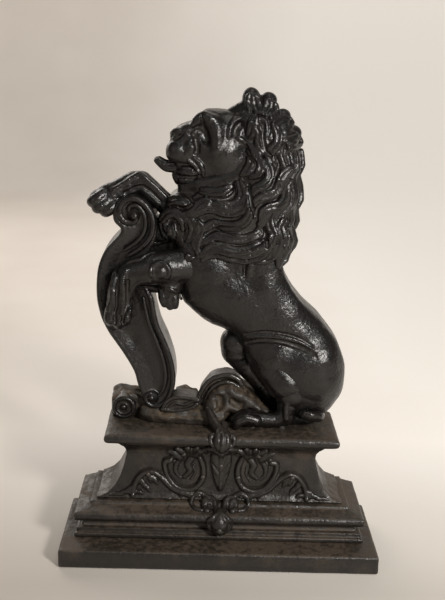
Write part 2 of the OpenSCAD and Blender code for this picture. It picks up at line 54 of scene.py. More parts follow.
# %% Place the camera
EYE = np.array([-18.9, -711.1, 402.9])
YAW, PITCH, ROLL = math.radians(1.26), math.radians(15.38), math.radians(1.99)
ahead = Vector((math.sin(YAW) * math.cos(PITCH), math.cos(YAW) * math.cos(PITCH), -math.sin(PITCH)))
level = Vector((math.cos(YAW), -math.sin(YAW), 0))
upward = level.cross(ahead)
right = level * math.cos(ROLL) + upward * math.sin(ROLL)
up = upward * math.cos(ROLL) - level * math.sin(ROLL)
camera_data = bpy.data.cameras.new("camera")
camera = bpy.data.objects.new("camera", camera_data)
camera.matrix_world = Matrix((
    (right.x, up.x, -ahead.x, EYE[0] * MM),
    (right.y, up.y, -ahead.y, EYE[1] * MM),
    (right.z, up.z, -ahead.z, EYE[2] * MM),
    (0, 0, 0, 1)))
camera_data.sensor_fit = "VERTICAL"
camera_data.sensor_height = 36
camera_data.lens = 57.7
camera_data.clip_start = 0.01
bpy.context.scene.collection.objects.link(camera)
bpy.context.scene.camera = camera


def slid(x, z, plane, y):
    """The point at depth y that hides the point (x, z) of a drawing plane."""
    share = (y - EYE[1]) / (plane - EYE[1])
    return EYE[0] + (x - EYE[0]) * share, EYE[2] + (z - EYE[2]) * share


print("camera at", [round(float(v)) for v in EYE], "mm")

# %% [markdown]
# ## Clay
# A casting starts as a pattern modelled in wax or clay. The same is done here with numbers: a block of
# small cells, each holding its distance to the surface (negative inside). Adding a roll of clay takes the
# smaller distance, and a soft union leaves a fillet where two rolls meet. Cutting is the same upside down.
# This suits a lion better than polygon modelling, because masses flow into each other as on the real one.


# %% Clay block
def soft_union(a, b, k):
    h = np.clip(0.5 + 0.5 * (b - a) / k, 0, 1)
    return b + (a - b) * h - k * h * (1 - h)


class Clay:
    """Distances to a surface, in mm, on a grid of cells."""

    def __init__(self, low, high, step):
        self.step = step
        self.axes = [np.arange(a - 2 * step, b + 3 * step, step, dtype=np.float32) for a, b in zip(low, high)]
        self.x, self.y, self.z = self.axes
        self.d = np.full([len(a) for a in self.axes], 60, np.float32)

    def window(self, points, reach):
        """The cells within reach of some points, with their coordinates."""
        cut = []
        for axis, values in zip(self.axes, np.asarray(points, float).T):
            i0 = int(np.searchsorted(axis, values.min() - reach))
            i1 = int(np.searchsorted(axis, values.max() + reach))
            if i1 <= i0:
                return None
            cut.append(slice(i0, i1))
        return tuple(cut), (self.x[cut[0]][:, None, None], self.y[cut[1]][None, :, None],
                            self.z[cut[2]][None, None, :])

    def add(self, d, k=0.0, cut=None):
        cut = cut or (slice(None),) * 3
        self.d[cut] = soft_union(self.d[cut], d, k) if k else np.minimum(self.d[cut], d)

    def take(self, d, k=0.0, cut=None):
        cut = cut or (slice(None),) * 3
        self.d[cut] = -soft_union(-self.d[cut], d, k) if k else np.maximum(self.d[cut], -d)

    def roll(self, points, k=2.0, remove=False):
        """A tapering roll of clay through points [x, y, z, radius]."""
        points = np.asarray(points, float)
        found = self.window(points[:, :3], points[:, 3].max() + k + 2 * self.step)
        if found is None:
            return
        cut, _ = found
        d = np.full(self.d[cut].shape, 60, np.float32)
        base = [c.start for c in cut]
        if len(points) == 1:
            points = np.vstack([points, points + [0.01, 0, 0, 0]])
        for a, b in zip(points[:-1], points[1:]):
            part, (x, y, z) = self.window([a[:3], b[:3]], max(a[3], b[3]) + k + 2 * self.step) or (None, (0, 0, 0))
            if part is None:
                continue
            along = b[:3] - a[:3]
            size = max(float(along @ along), 1e-9)
            px, py, pz = x - a[0], y - a[1], z - a[2]
            t = np.clip((px * along[0] + py * along[1] + pz * along[2]) / size, 0, 1)
            dist = np.sqrt((px - t * along[0]) ** 2 + (py - t * along[1]) ** 2 + (pz - t * along[2]) ** 2)
            dist = dist - (a[3] + (b[3] - a[3]) * t)
            local = tuple(slice(c.start - o, c.stop - o) for c, o in zip(part, base))
            d[local] = np.minimum(d[local], dist)
        if remove:
            self.take(d, k, cut)
        else:
            self.add(d, k, cut)

    def front(self):
        """How far forward the surface comes at each (x, z), evened out a little."""
        solid = self.d < 0
        first = np.where(solid.any(1), self.y[solid.argmax(1)], 26.0)
        for _ in range(2):
            first = (first + np.roll(first, 1, 0) + np.roll(first, -1, 0) + np.roll(first, 1, 1)
                     + np.roll(first, -1, 1)) / 5
        return first

    def rough(self, size, height, seed):
        """Unevenness of the sand mould: a soft random swelling."""
        dice = np.random.default_rng(seed)
        coarse = [int(len(a) * self.step / size) + 3 for a in self.axes]
        field = dice.standard_normal(coarse).astype(np.float32)
        for n, axis in enumerate(self.axes):
            at = np.arange(len(axis)) * self.step / size
            i = at.astype(int)
            t = at - i
            t = (t * t * (3 - 2 * t)).astype(np.float32).reshape([-1 if m == n else 1 for m in range(3)])
            field = np.take(field, i, n) * (1 - t) + np.take(field, i + 1, n) * t
        self.d += field * height


def curve(points, steps=5):
    """A smooth line through given points (Catmull-Rom)."""
    p = np.asarray(points, float)
    if len(p) < 3:
        return p
    p = np.vstack([2 * p[0] - p[1], p, 2 * p[-1] - p[-2]])
    rows = []
    for a, b, c, e in zip(p[:-3], p[1:-2], p[2:-1], p[3:]):
        for t in np.arange(steps) / steps:
            rows.append(0.5 * (2 * b + (c - a) * t + (2 * a - 5 * b + 4 * c - e) * t * t
                               + (3 * b - a - 3 * c + e) * t ** 3))
    return np.array(rows + [p[-2]])


def closed_curve(points, steps=4):
    p = np.asarray(points, float)
    ring = np.vstack([p[-1], p, p[:2]])
    rows = []
    for a, b, c, e in zip(ring[:-3], ring[1:-2], ring[2:-1], ring[3:]):
        for t in np.arange(steps) / steps:
            rows.append(0.5 * (2 * b + (c - a) * t + (2 * a - 5 * b + 4 * c - e) * t * t
                               + (3 * b - a - 3 * c + e) * t ** 3))
    return np.array(rows)


def outline_distance(points, u, v):
    """Signed distance from each (u, v) to a closed outline, negative inside."""
    p = np.asarray(points, float)
    u, v = np.meshgrid(u, v, indexing="ij")
    best = np.full(u.shape, 1e9)
    inside = np.zeros(u.shape, bool)
    for (au, av), (bu, bv) in zip(p, np.roll(p, -1, 0)):
        eu, ev = bu - au, bv - av
        t = np.clip(((u - au) * eu + (v - av) * ev) / max(eu * eu + ev * ev, 1e-9), 0, 1)
        best = np.minimum(best, (u - au - t * eu) ** 2 + (v - av - t * ev) ** 2)
        if av != bv:
            inside ^= ((av > v) != (bv > v)) & (u < au + (v - av) / (bv - av) * eu)
    return (np.where(inside, -1, 1) * np.sqrt(best)).astype(np.float32)


def relief(clay, outline, front, soft):
    """An outline pulled forward from the flat back, with a broad soft edge."""
    side = outline_distance(outline, clay.x, clay.z)[:, None, :] + soft
    face = front + soft - clay.y[None, :, None]
    return np.hypot(np.maximum(side, 0), np.maximum(face, 0)) + np.minimum(np.maximum(side, face), 0) - soft


print("clay tools ready")

# %% [markdown]
# ## From clay to mesh
# The surface is where the distance changes sign. One vertex goes into each cell that the surface crosses,
# at the mean of its crossings, and four such cells round a grid edge share a quad (surface nets). The mesh
# is closed by construction. A second number is kept per vertex: how far the spot stands proud of its
# surroundings. Ridges get rubbed and painted with a lighter sheen, and hollows gather dust, so the finish can follow
# the shape.


# %% Skin the clay
def blurred(field, cells):
    """Mean over a cube of cells on each side."""
    for axis in range(3):
        pad = [(0, 0)] * 3
        pad[axis] = (cells + 1, cells)
        total = np.cumsum(np.pad(field, pad, mode="edge"), axis, dtype=np.float64)
        n = field.shape[axis]
        high = np.take(total, np.arange(n) + 2 * cells + 1, axis)
        low = np.take(total, np.arange(n), axis)
        field = ((high - low) / (2 * cells + 1)).astype(np.float32)
    return field


CORNERS = [(i, j, k) for i in (0, 1) for j in (0, 1) for k in (0, 1)]
EDGES = [(a, b) for a in CORNERS for b in CORNERS if a < b and sum(abs(p - q) for p, q in zip(a, b)) == 1]


def skin(clay, name, wear_reach=2.4):
    """Turns clay into a mesh object in metres, with a wear number on each vertex."""
    d = clay.d
    for axis in range(3):
        edge = [slice(None)] * 3
        for end in (0, -1):
            edge[axis] = end
            d[tuple(edge)] = np.maximum(d[tuple(edge)], clay.step)
    solid = d < 0
    shape = [n - 1 for n in d.shape]
    count = np.zeros(shape, np.int8)
    for i, j, k in CORNERS:
        count += solid[i:i + shape[0], j:j + shape[1], k:k + shape[2]]
    ii, jj, kk = np.nonzero((count > 0) & (count < 8))
    number = np.full(shape, -1, np.int32)
    number[ii, jj, kk] = np.arange(len(ii))
    value = {c: d[ii + c[0], jj + c[1], kk + c[2]] for c in CORNERS}
    total = np.zeros((len(ii), 3))
    hits = np.zeros(len(ii))
    for a, b in EDGES:
        va, vb = value[a], value[b]
        cross = (va < 0) != (vb < 0)
        t = np.where(cross, va / np.where(cross, va - vb, 1), 0)
        spot = np.array(a) + t[:, None] * (np.array(b) - np.array(a))
        total += spot * cross[:, None]
        hits += cross
    verts = np.stack([ii, jj, kk], 1) + total / hits[:, None]
    verts = verts * clay.step + [a[0] for a in clay.axes]
    faces = []
    for axis in range(3):
        u, v = (axis + 1) % 3, (axis + 2) % 3
        low = [slice(None)] * 3
        high = [slice(None)] * 3
        low[axis], high[axis] = slice(0, -1), slice(1, None)
        a, b = solid[tuple(low)], solid[tuple(high)]
        at = np.array(np.nonzero(a != b))
        keep = (at[u] > 0) & (at[v] > 0) & (at[u] < shape[u]) & (at[v] < shape[v])
        at = at[:, keep]
        outward = a[tuple(at)]
        quad = []
        for du, dv in ((1, 1), (0, 1), (0, 0), (1, 0)):
            cell = at.copy()
            cell[u] -= du
            cell[v] -= dv
            quad.append(number[tuple(cell)])
        quad = np.stack(quad, 1)
        faces.append(np.where(outward[:, None], quad, quad[:, ::-1]))
    faces = np.concatenate(faces)
    reach = max(1, int(round(wear_reach / clay.step)))
    proud = blurred(blurred(np.clip(d, -8, 8), reach), max(1, reach // 2)) - np.clip(d, -8, 8)
    wear = blurred(proud, 1)[ii, jj, kk]
    mesh = bpy.data.meshes.new(name)
    mesh.from_pydata((verts * MM).tolist(), [], faces.tolist())
    mesh.attributes.new("wear", "FLOAT", "POINT").data.foreach_set("value", wear.astype(np.float32))
    mesh.polygons.foreach_set("use_smooth", np.ones(len(faces), bool))
    mesh.validate()
    piece = bpy.data.objects.new(name, mesh)
    bpy.context.scene.collection.objects.link(piece)
    print(f"{name}: {2 * len(faces)} triangles, wear {np.percentile(wear, 5):.2f} to {np.percentile(wear, 95):.2f}")
    return piece


BACK = 45.0
CAP_TOP = 101.0


def trim(clay, outline, spare=0.2, soft=1.5):
    """Cuts away what bulges past an outline, so that the silhouette is the outline's."""
    side = outline_distance(outline, clay.x, clay.z)[:, None, :] - spare
    clay.d = -soft_union(-clay.d, -side + 0 * clay.d, soft)


def flat_back(clay, floor=CAP_TOP):
    clay.take(BACK - clay.y[None, :, None] + 0 * clay.d)
    clay.take(clay.z[None, None, :] - floor + 0 * clay.d)


# %% [markdown]
# ## Iron
# The casting is painted black and has been handled for a century. Close to, it has a fine pebbled skin
# from the mould's sand. Brown dust and rust lie in hollows and on ledges; the ridges are rubbed smoother, and their
# colour is lightened as a painted dull sheen. One recipe makes all the irons; the amounts differ between the figure and
# the plinth.


# %% Iron recipe
def iron(name, base, dust, rub_and_sheen, roughness, dusty, ledge, pebble, blotch):
    material = bpy.data.materials.new(name)
    material.use_nodes = True
    nodes, links = material.node_tree.nodes, material.node_tree.links
    nodes.clear()

    def node(kind, **values):
        made_node = nodes.new(kind)
        for key, value in values.items():
            setattr(made_node, key, value)
        return made_node

    def maths(operation, a, b=None, clamp=False):
        n = node("ShaderNodeMath", operation=operation, use_clamp=clamp)
        for socket, v in zip(n.inputs, (a, b)):
            if v is None:
                continue
            if isinstance(v, (int, float)):
                socket.default_value = v
            else:
                links.new(v, socket)
        return n.outputs[0]

    def noise(scale, detail, rough_by=0.55):
        n = node("ShaderNodeTexNoise")
        n.inputs["Scale"].default_value = scale
        n.inputs["Detail"].default_value = detail
        n.inputs["Roughness"].default_value = rough_by
        links.new(place.outputs["Object"], n.inputs["Vector"])
        return n.outputs["Fac"]

    def ramp(value, low, high):
        n = node("ShaderNodeMapRange", interpolation_type="SMOOTHSTEP")
        n.inputs["From Min"].default_value = low
        n.inputs["From Max"].default_value = high
        links.new(value, n.inputs["Value"])
        return n.outputs[0]

    def blend(share, a, b):
        n = node("ShaderNodeMix", data_type="RGBA")
        links.new(share, n.inputs["Factor"])
        for socket, v in ((n.inputs[6], a), (n.inputs[7], b)):
            if isinstance(v, tuple):
                socket.default_value = (*v, 1)
            else:
                links.new(v, socket)
        return n.outputs[2]

    place = node("ShaderNodeTexCoord")
    wear = node("ShaderNodeAttribute", attribute_name="wear").outputs["Fac"]
    normal = node("ShaderNodeSeparateXYZ")
    links.new(node("ShaderNodeNewGeometry").outputs["Normal"], normal.inputs[0])
    patches, mottle, grain = noise(34, 4), noise(210, 5, 0.65), noise(1150, 3, 0.6)
    recess = ramp(maths("MULTIPLY", wear, -1.0), 0.02, 0.5)
    ridge = ramp(wear, 0.15, 0.9)
    upward_facing = ramp(normal.outputs["Z"], 0.45, 0.95)
    speckle = ramp(maths("ADD", mottle, maths("MULTIPLY", patches, 0.6)), 0.62, 1.0)
    share = maths("MULTIPLY", recess, dusty)
    share = maths("ADD", share, maths("MULTIPLY", upward_facing, ledge))
    share = maths("ADD", share, maths("MULTIPLY", ramp(patches, 0.45, 0.75), blotch))
    share = maths("MULTIPLY", share, maths("ADD", maths("MULTIPLY", speckle, 0.9), 0.35), clamp=True)
    colour = blend(mottle, tuple(0.65 * c for c in base), tuple(1.35 * c for c in base))
    # Ridges take a lighter colour: rubbed wear, and a painted dull sheen.
    colour = blend(maths("MULTIPLY", ridge, 0.45), colour, rub_and_sheen)
    colour = blend(share, colour, dust)
    shade = maths("ADD", roughness, maths("MULTIPLY", share, 0.35))
    shade = maths("ADD", shade, maths("MULTIPLY", maths("SUBTRACT", mottle, 0.5), 0.3))
    shade = maths("SUBTRACT", shade, maths("MULTIPLY", ridge, 0.08), clamp=True)
    height = maths("ADD", maths("MULTIPLY", grain, 0.25), noise(420, 2))
    bump = node("ShaderNodeBump")
    bump.inputs["Strength"].default_value = pebble
    bump.inputs["Distance"].default_value = 0.00065
    links.new(height, bump.inputs["Height"])
    shader = node("ShaderNodeBsdfPrincipled")
    links.new(colour, shader.inputs["Base Color"])
    links.new(shade, shader.inputs["Roughness"])
    links.new(bump.outputs[0], shader.inputs["Normal"])
    shader.inputs["Specular IOR Level"].default_value = 0.62
    out = node("ShaderNodeOutputMaterial")
    links.new(shader.outputs[0], out.inputs[0])
    return material


DUST = (0.075, 0.055, 0.038)
IRON = {
    "figure_iron": iron("figure_iron", (0.0062, 0.0052, 0.0051), (0.036, 0.027, 0.020), (0.020, 0.0178, 0.0166),
                        0.31, 0.42, 0.08, 0.6, 0.08),
    "plinth_iron": iron("plinth_iron", (0.0125, 0.0104, 0.0090), DUST, (0.032, 0.027, 0.023),
                        0.36, 0.8, 0.8, 0.6, 0.45),
    "ornament_iron": iron("ornament_iron", (0.0125, 0.0106, 0.0094), DUST, (0.046, 0.040, 0.035),
                          0.34, 0.6, 0.2, 0.42, 0.12),
    "rock_iron": iron("rock_iron", (0.020, 0.0155, 0.0115), (0.115, 0.083, 0.052), (0.045, 0.036, 0.028),
                      0.5, 0.5, 0.8, 0.7, 0.9),
    "cover_iron": iron("cover_iron", (0.020, 0.018, 0.0165), DUST, (0.05, 0.046, 0.042),
                       0.5, 0.5, 0.2, 0.6, 0.3),
    "fixing_steel": iron("fixing_steel", (0.055, 0.050, 0.046), (0.12, 0.075, 0.045), (0.2, 0.19, 0.18),
                         0.38, 0.5, 0.1, 0.25, 0.4),
}
print("finishes:", ", ".join(IRON))


def finish(piece, slot, *nodes):
    """Gives a piece its finish, ties it to the frame and hides the CAD node that it stands for."""
    piece.data.materials.clear()
    piece.data.materials.append(IRON[slot])
    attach(piece, "root")
    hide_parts(*nodes)


# %% [markdown]
# ## The plinth
# A plate, a moulding that returns round both ends, a hollow-sided pedestal and a cap. Each is a profile
# seen from the side (for the front) crossed with a profile seen from the front (for the ends), which is
# how a pattern maker planes two mouldings and mitres them. Edges are eased, since cast iron has no knife
# edges.


# %% Base plate
def brick(clay, low, high, r):
    """A block with edges of radius r."""
    parts = []
    for axis, a, b, n in zip(clay.axes, low, high, range(3)):
        shape = [-1 if m == n else 1 for m in range(3)]
        parts.append((np.abs(axis - (a + b) / 2) - (b - a) / 2 + r).reshape(shape))
    out = np.sqrt(sum(np.maximum(p, 0) ** 2 for p in parts))
    return out + np.minimum(np.maximum(np.maximum(parts[0], parts[1]), parts[2]), 0) - r


def bore(clay, x, y, z0, z1, r):
    """An upright hole."""
    side = np.hypot(clay.x - x, 0)[:, None, None] ** 2 + (clay.y - y)[None, :, None] ** 2
    return np.maximum(np.sqrt(side) - r, np.maximum(z0 - clay.z, clay.z - z1)[None, None, :])


plate = Clay((-125, -45, 0), (125, 45, 15), 1.0)
plate.add(brick(plate, (-125, -45, 0), (125, 45, 15), 1.9))
plate.rough(9, 0.10, 1)
plate.take(brick(plate, (-39, 0, -5), (48, 32, 9), 1.0), 1.0)
for bolt_x, bolt_y in ((-55, 31), (64, 24)):
    plate.take(bore(plate, bolt_x, bolt_y, -5, 7.6, 8.5))
plate.d = np.maximum(plate.d, brick(plate, (-125, -45, 0), (125, 45, 15), 0.6))
finish(skin(plate, "plate_casting"), "plinth_iron", "base_plate")


# %% Moulding, pedestal and cap
TIER_Z, TIER_FRONT, TIER_END = 15.0, -24.0, 115.0


def bead(c, z, r):
    return [(c - r * math.cos(a), z + r * math.sin(a)) for a in np.radians(np.arange(-90, 91, 15))]


def returned(clay, front, end, ease):
    """A moulding: front profile (y, z) crossed with end profile (distance from the middle, z)."""
    a = outline_distance(front, clay.y, clay.z)[None, :, :]
    b = outline_distance(end, np.abs(clay.x), clay.z)[:, None, :]
    return -soft_union(-a, -b, ease)


tier_front = ([(BACK + 9, 15), (-24, 15), (-24, 19), (-21, 19), (-21, 22.5), (-17, 22.5), (-16, 25.7), (-17, 28.9)]
              + bead(-21, 33, 4) + [(-20, 37.2), (-12, 39.2), (-11.5, 41.4), (BACK + 9, 41.4)])
tier_end = ([(-20, 15), (115, 15), (115, 19), (113.5, 19), (113.5, 22.5), (110, 22.5), (109, 25.7), (110, 28.9)]
            + [(-a, b) for a, b in bead(-112, 33, 4)] + [(111, 37.2), (104, 39.2), (103.5, 41.4), (-20, 41.4)])
tier = Clay((-115, -25, 15), (115, 45, 41.4), 0.85)
tier.add(returned(tier, tier_front, tier_end, 1.2))
tier.rough(7, 0.12, 2)
tier.d = np.maximum(tier.d, brick(tier, (-115, -25.2, 15), (115, 45, 41.4), 0.4))
finish(skin(tier, "moulding_casting"), "plinth_iron", "lower_moulding")

FLARE = [(1, 0, 0), (.79, 0, .03), (.53, 0, .09), (.32, 0, .2), (.17, 0, .36), (.06, 0, .55), (0, 0, .72),
         (0, .08, .79), (0, .36, .86), (0, .8, .93), (0, 1, .96), (0, 1, 1)]
PED_Z, PED_TALL, NECK_FRONT, NECK_HALF = 41.4, 50.6, -1.0, 76.0
ped_front = [(NECK_FRONT - 8 * f - 9 * t, PED_Z + PED_TALL * s) for f, t, s in FLARE]
ped_end = [(NECK_HALF + 26.5 * f + 6 * t, PED_Z + PED_TALL * s) for f, t, s in FLARE]


def neck_face(z):
    """How far forward the pedestal's front comes at a height."""
    return np.interp(z, [p[1] for p in ped_front], [p[0] for p in ped_front])


ped = Clay((-103, -11, 41.4), (103, 45, 92), 0.95)
ped.add(returned(ped, [(BACK + 9, PED_Z)] + ped_front + [(BACK + 9, 92)],
                 [(-20, PED_Z)] + ped_end + [(-20, 92)], 1.0))
ped.rough(7, 0.16, 3)
ped.d = np.maximum(ped.d, brick(ped, (-102.5, -10, 41.4), (102.5, 45, 92), 0.4))
finish(skin(ped, "pedestal_casting"), "plinth_iron", "pedestal")

cap = Clay((-92.5, -18, 92), (92.5, 45, 101), 0.85)
cap.add(returned(cap, [(BACK + 9, 92)] + bead(-13.5, 96.5, 4.5) + [(BACK + 9, 101)],
                 [(-20, 92)] + [(-a, b) for a, b in bead(-88, 96.5, 4.5)] + [(-20, 101)], 2.0))
cap.rough(8, 0.14, 4)
cap.d = np.maximum(cap.d, brick(cap, (-92.5, -18, 92), (92.5, 45, 101), 0.4))
finish(skin(cap, "cap_casting"), "plinth_iron", "cap_slab")
print("pedestal face at mid height:", round(float(neck_face(66)), 2), "mm")

# %% [markdown]
# ## The scrollwork
# The panel carries a pair of mirrored scrolls: a ring that opens into a leaf, and a stem that swings out
# from under it and curls down. A drop hangs between them, a leaf laps the cap, and two small volutes meet
# over a boss. Each is modelled with rolls of clay laid on the panel's own curved face.


# %% Ornament helper
def laid(points, lift=0.0, face=neck_face):
    """Rolls on the pedestal: points (x, z, radius) get the depth of the face beneath them."""
    p = curve(points, 6)
    return [(x, float(face(z)) - lift, z, max(r, 0.5)) for x, z, r in p]


def scrollwork(side, name, node):
    c = Clay((11 if side > 0 else -96, -14, 42), (96 if side > 0 else -11, 8, 91), 0.5)

    def roll(points, lift=0.0, k=0.9, remove=False):
        c.roll([(side * x, y, z, r) for x, y, z, r in laid(points, lift)], k, remove)

    ring = [(21, 80, 1.7), (16.4, 75.5, 2.0), (13.8, 67, 2.1), (14.6, 58, 2.1), (19.6, 51.6, 2.2), (28, 49.6, 2.2),
            (36, 52.4, 2.1), (41.6, 59, 2.0), (44.6, 66.6, 1.9), (44.4, 72.4, 2.2), (40.6, 74, 2.6)]
    roll([(x, z, r + 1.3) for x, z, r in ring], -1.5)
    roll(ring, 1.5, 0.6)
    stem = [(17, 45.6, 1.6), (23, 46.2, 2.2), (31, 47.4, 2.2), (38, 50.4, 2.2), (44, 56, 2.2), (49.6, 61.2, 2.2),
            (55.4, 63.8, 2.2), (61.6, 62.2, 2.2), (66.6, 57, 2.1), (69.4, 50, 2.1), (70, 44.6, 2.0)]
    roll([(x, z, r + 1.4) for x, z, r in stem], -1.5)
    roll(stem, 1.4, 0.6)
    # Leaf lobes fan out over the ring, and a soft leaf curls inside it.
    for tip_x, tip_z, root_x, root_z, r in ((13.2, 85.4, 20, 80, 3.2), (19.6, 87.6, 22, 80.6, 3.2), (27, 87.4, 26, 81, 3.2),
                                            (35, 85.6, 29.6, 80, 3.0), (41.4, 82, 34, 78, 2.7), (39, 77, 33, 76, 2.2)):
        roll([(root_x, root_z, r), ((root_x + tip_x) / 2, (root_z + tip_z) / 2 + 0.8, r), (tip_x, tip_z, r * 0.7)], 1.3, 1.4)
    roll([(22.4, 77, 3.0), (26.4, 71, 3.4), (24.8, 64.6, 2.8), (29, 59.6, 2.0)], -0.2, 1.6)
    roll([(31, 76, 2.2), (35.6, 70, 2.6), (36, 63.6, 2.0), (32.6, 59, 1.4)], -0.2, 1.6)
    roll([(21, 70, 1.0), (20.6, 63, 1.2), (24, 57.6, 1.0)], 0.1, 1.0)
    for tip_x, tip_z, root_x, root_z, r in ((23.4, 43, 28, 47, 2.0), (31, 43.6, 32, 47.4, 1.7), (55.6, 55, 57, 60.6, 2.4),
                                            (50.6, 53.4, 54, 58.6, 2.0), (61, 51, 63.4, 56, 2.2), (56.6, 47.4, 60, 52, 2.0),
                                            (75, 47.8, 70, 49.6, 2.2), (80.6, 45.6, 73, 46.6, 2.0),
                                            (88, 44.4, 79, 44.8, 1.6), (62, 45.4, 66, 47, 1.9)):
        roll([(root_x, root_z, r), ((root_x + tip_x) / 2, (root_z + tip_z) / 2 + 0.6, r * 1.1), (tip_x, tip_z, r * 0.6)],
             0.5, 1.3)
    c.rough(3, 0.10, 6)
    finish(skin(c, name, 1.6), "ornament_iron", node)


scrollwork(1, "scrollwork_right", "right_scrollwork")
scrollwork(-1, "scrollwork_left", "left_scrollwork")

# %% Drop, cap leaf, volutes and boss
drop = Clay((-14, -17, 46), (14, 6, 90), 0.5)
for side in (-1, 1):
    drop.roll(laid([(side * 0.8, 50.5, 1.6), (side * 2.4, 58, 3.0), (side * 3.8, 68, 4.0), (side * 4.6, 77, 4.2),
                    (side * 3.4, 84, 3.4)], 0.8), 1.6)
    drop.roll(laid([(side * 5, 84, 2.2), (side * 9.4, 86, 2.6), (side * 12, 82, 1.9)], 1.4), 1.0)
drop.roll(laid([(0, 52, 1.0), (0, 62, 1.8), (0, 74, 2.6), (0, 82, 3.2)], 3.0), 1.0)
for x0, z0, x1, z1 in ((0, 58, 5, 64), (0, 66, 6.8, 73)):
    for side in (-1, 1):
        drop.roll(laid([(side * (x0 + 1.8), z0, 0.6), (side * x1, z1, 0.9)], 4.6), 0.8, remove=True)
drop.rough(3, 0.08, 7)
finish(skin(drop, "drop_casting", 1.6), "ornament_iron", "centre_pendant")

leaf = Clay((-16, -24, 86), (14, 12, 119), 0.5)
for side in (-1, 1):
    leaf.roll(curve([(side * 1.5, -8, 102.4, 2.4), (side * 3.0, -14, 102.8, 3.0), (side * 3.6, -18.4, 100, 3.2),
                     (side * 3.2, -20, 95.6, 3.0), (side * 2.0, -18.6, 91.4, 2.4), (side * 1.0, -15.6, 88.6, 1.7)]), 1.2)
    leaf.roll(curve([(side * 4, -13, 101, 2.0), (side * 8.4, -15.4, 100.6, 2.4), (side * 9.2, -17.4, 97, 2.0),
                     (side * 6.6, -18.6, 94, 1.8)]), 1.0)
    leaf.roll(curve([(side * 3, -16.6, 91, 1.8), (side * 8, -14.4, 90, 2.4), (side * 12, -11.6, 88.4, 1.8)]), 1.0)
leaf.roll(curve([(0, -10, 102.6, 1.8), (0.4, -17, 103, 2.4), (0, -21.6, 98, 2.0), (0, -21, 92.6, 2.6), (0, -17.6, 89, 1.8)]), 0.8)
# Its stem comes down over the cap from the rocks.
leaf.roll(curve([(-11, 6, 114, 2.6), (-8, 1, 109, 4.0), (-4, -5, 104.6, 4.4), (-1, -11, 102.4, 4.0)]), 1.4)
leaf.roll(curve([(0.4, 1, 104, 2.6), (1.8, -3, 105.4, 3.0), (1.6, -9, 103.6, 2.4)]), 0.9)
leaf.roll([(-3.6, 0, 108.4, 1.6), (-1.2, -7, 106, 1.2)], 0.9, True)
leaf.rough(3, 0.08, 8)
finish(skin(leaf, "cap_leaf_casting", 1.5), "ornament_iron", "cap_leaf")


def climb(z):
    """The face that the small volutes lie on: moulding slope, then pedestal foot."""
    return np.interp(z, [33, 37.2, 39.2, 41.4, 44.4, 49], [-24, -20, -13, -10.5, -6.4, -4])


volutes = Clay((-26, -26, 30), (26, 0, 52), 0.45)
for side in (-1, 1):
    spiral = [(side * (9.4 + 5.2 * (1 - t / 8) * math.cos(2.5 - 0.95 * t)),
               40.4 + 4.8 * (1 - t / 8) * math.sin(2.5 - 0.95 * t), 2.5 - 0.06 * t) for t in range(6)]
    volutes.roll(laid([(side * 1.2, 35.4, 2.2), (side * 3, 38, 2.4)] + spiral, 1.4, climb), 0.9)
    volutes.roll(laid([(side * 9.4, 40.4, 4.6), (side * 10, 40.4, 4.6)], -1.6, climb), 1.4)
    volutes.roll(laid([(side * 8.6, 40, 2.0), (side * 9, 40, 2.0)], 2.2, climb), 0.6)
    volutes.roll(laid([(side * 12, 45.8, 2.0), (side * 17, 47.4, 2.6), (side * 21.6, 45, 2.4), (side * 23, 41.6, 1.8)], 0.9,
                      climb), 1.0)
    volutes.roll(laid([(side * 15, 38, 1.6), (side * 20, 38.6, 1.9), (side * 23, 40.6, 1.4)], 0.4, climb), 1.0)
volutes.rough(3, 0.08, 9)
finish(skin(volutes, "volutes_casting", 1.5), "ornament_iron", "whiskers")

boss = Clay((-13, -36, 17), (13, -13, 42), 0.5)
boss.roll(curve([(0, -20, 38, 3.6), (0, -24.4, 33, 6.6), (0, -24.6, 28.4, 7.2), (0, -22, 23.6, 4.6), (0, -19.6, 20.6, 2.4)]), 1.6)
for side in (-1, 1):
    boss.roll(curve([(side * 2, -24, 38.4, 1.8), (side * 6, -26.6, 36, 2.3), (side * 9, -25.4, 32, 2.1),
                     (side * 7.6, -25.6, 26.6, 1.6), (side * 3.4, -26, 22.6, 1.3)]), 0.9)
boss.roll(curve([(-5, -29, 31, 1.2), (0, -31, 29.6, 1.6), (5, -29, 31.6, 1.2)]), 1.0)
boss.roll([(-2.6, -31.6, 27, 1.0), (2.6, -31.6, 27, 1.0)], 1.0, True)
boss.rough(3, 0.08, 10)
finish(skin(boss, "boss_casting", 1.5), "ornament_iron", "base_boss")

# %% [markdown]
# ## Rocky ground
# The lion sits on rough ground, which was modelled with thumb marks rather than tools, and is the rustiest
# part. A rib of root or rock arches over its middle, and a broad leaf fills the gap beside the scroll.

# %% Rocks, arch and leaf
rock = Clay((-94, 2, 101), (66, 45, 136), 0.8)
rock_plan = closed_curve([(-68, 22), (-60, 11), (-40, 8), (-20, 6), (-6, 5), (1, 9), (2, 17), (14, 20), (40, 20),
                          (58, 22), (60, 34), (40, 38), (-30, 38), (-62, 38)])
slab = outline_distance(rock_plan, rock.x, rock.y)[:, :, None]
rock.add(np.maximum(slab, rock.z[None, None, :] - 106))
rock.add(brick(rock, (-66, 14, 95), (-14, 50, 112), 3.0), 3)
mound = [(-14, 100), (-13, 117), (-4, 127.5), (6, 131.5), (16, 128.5), (28, 119.5), (40, 108.5), (46, 100)]
rock.add(relief(rock, mound, 19, 5), 2)
rock.add(relief(rock, [(-90, 100), (-90, 117), (-84, 120.6), (-72, 120), (-60, 116), (-52, 110), (-50, 100)], 21, 3), 3)
rock.add(relief(rock, [(-38, 100), (-38, 118), (-30, 121), (-21, 118), (-20, 100)], 31, 2), 2)
dice = np.random.default_rng(11)
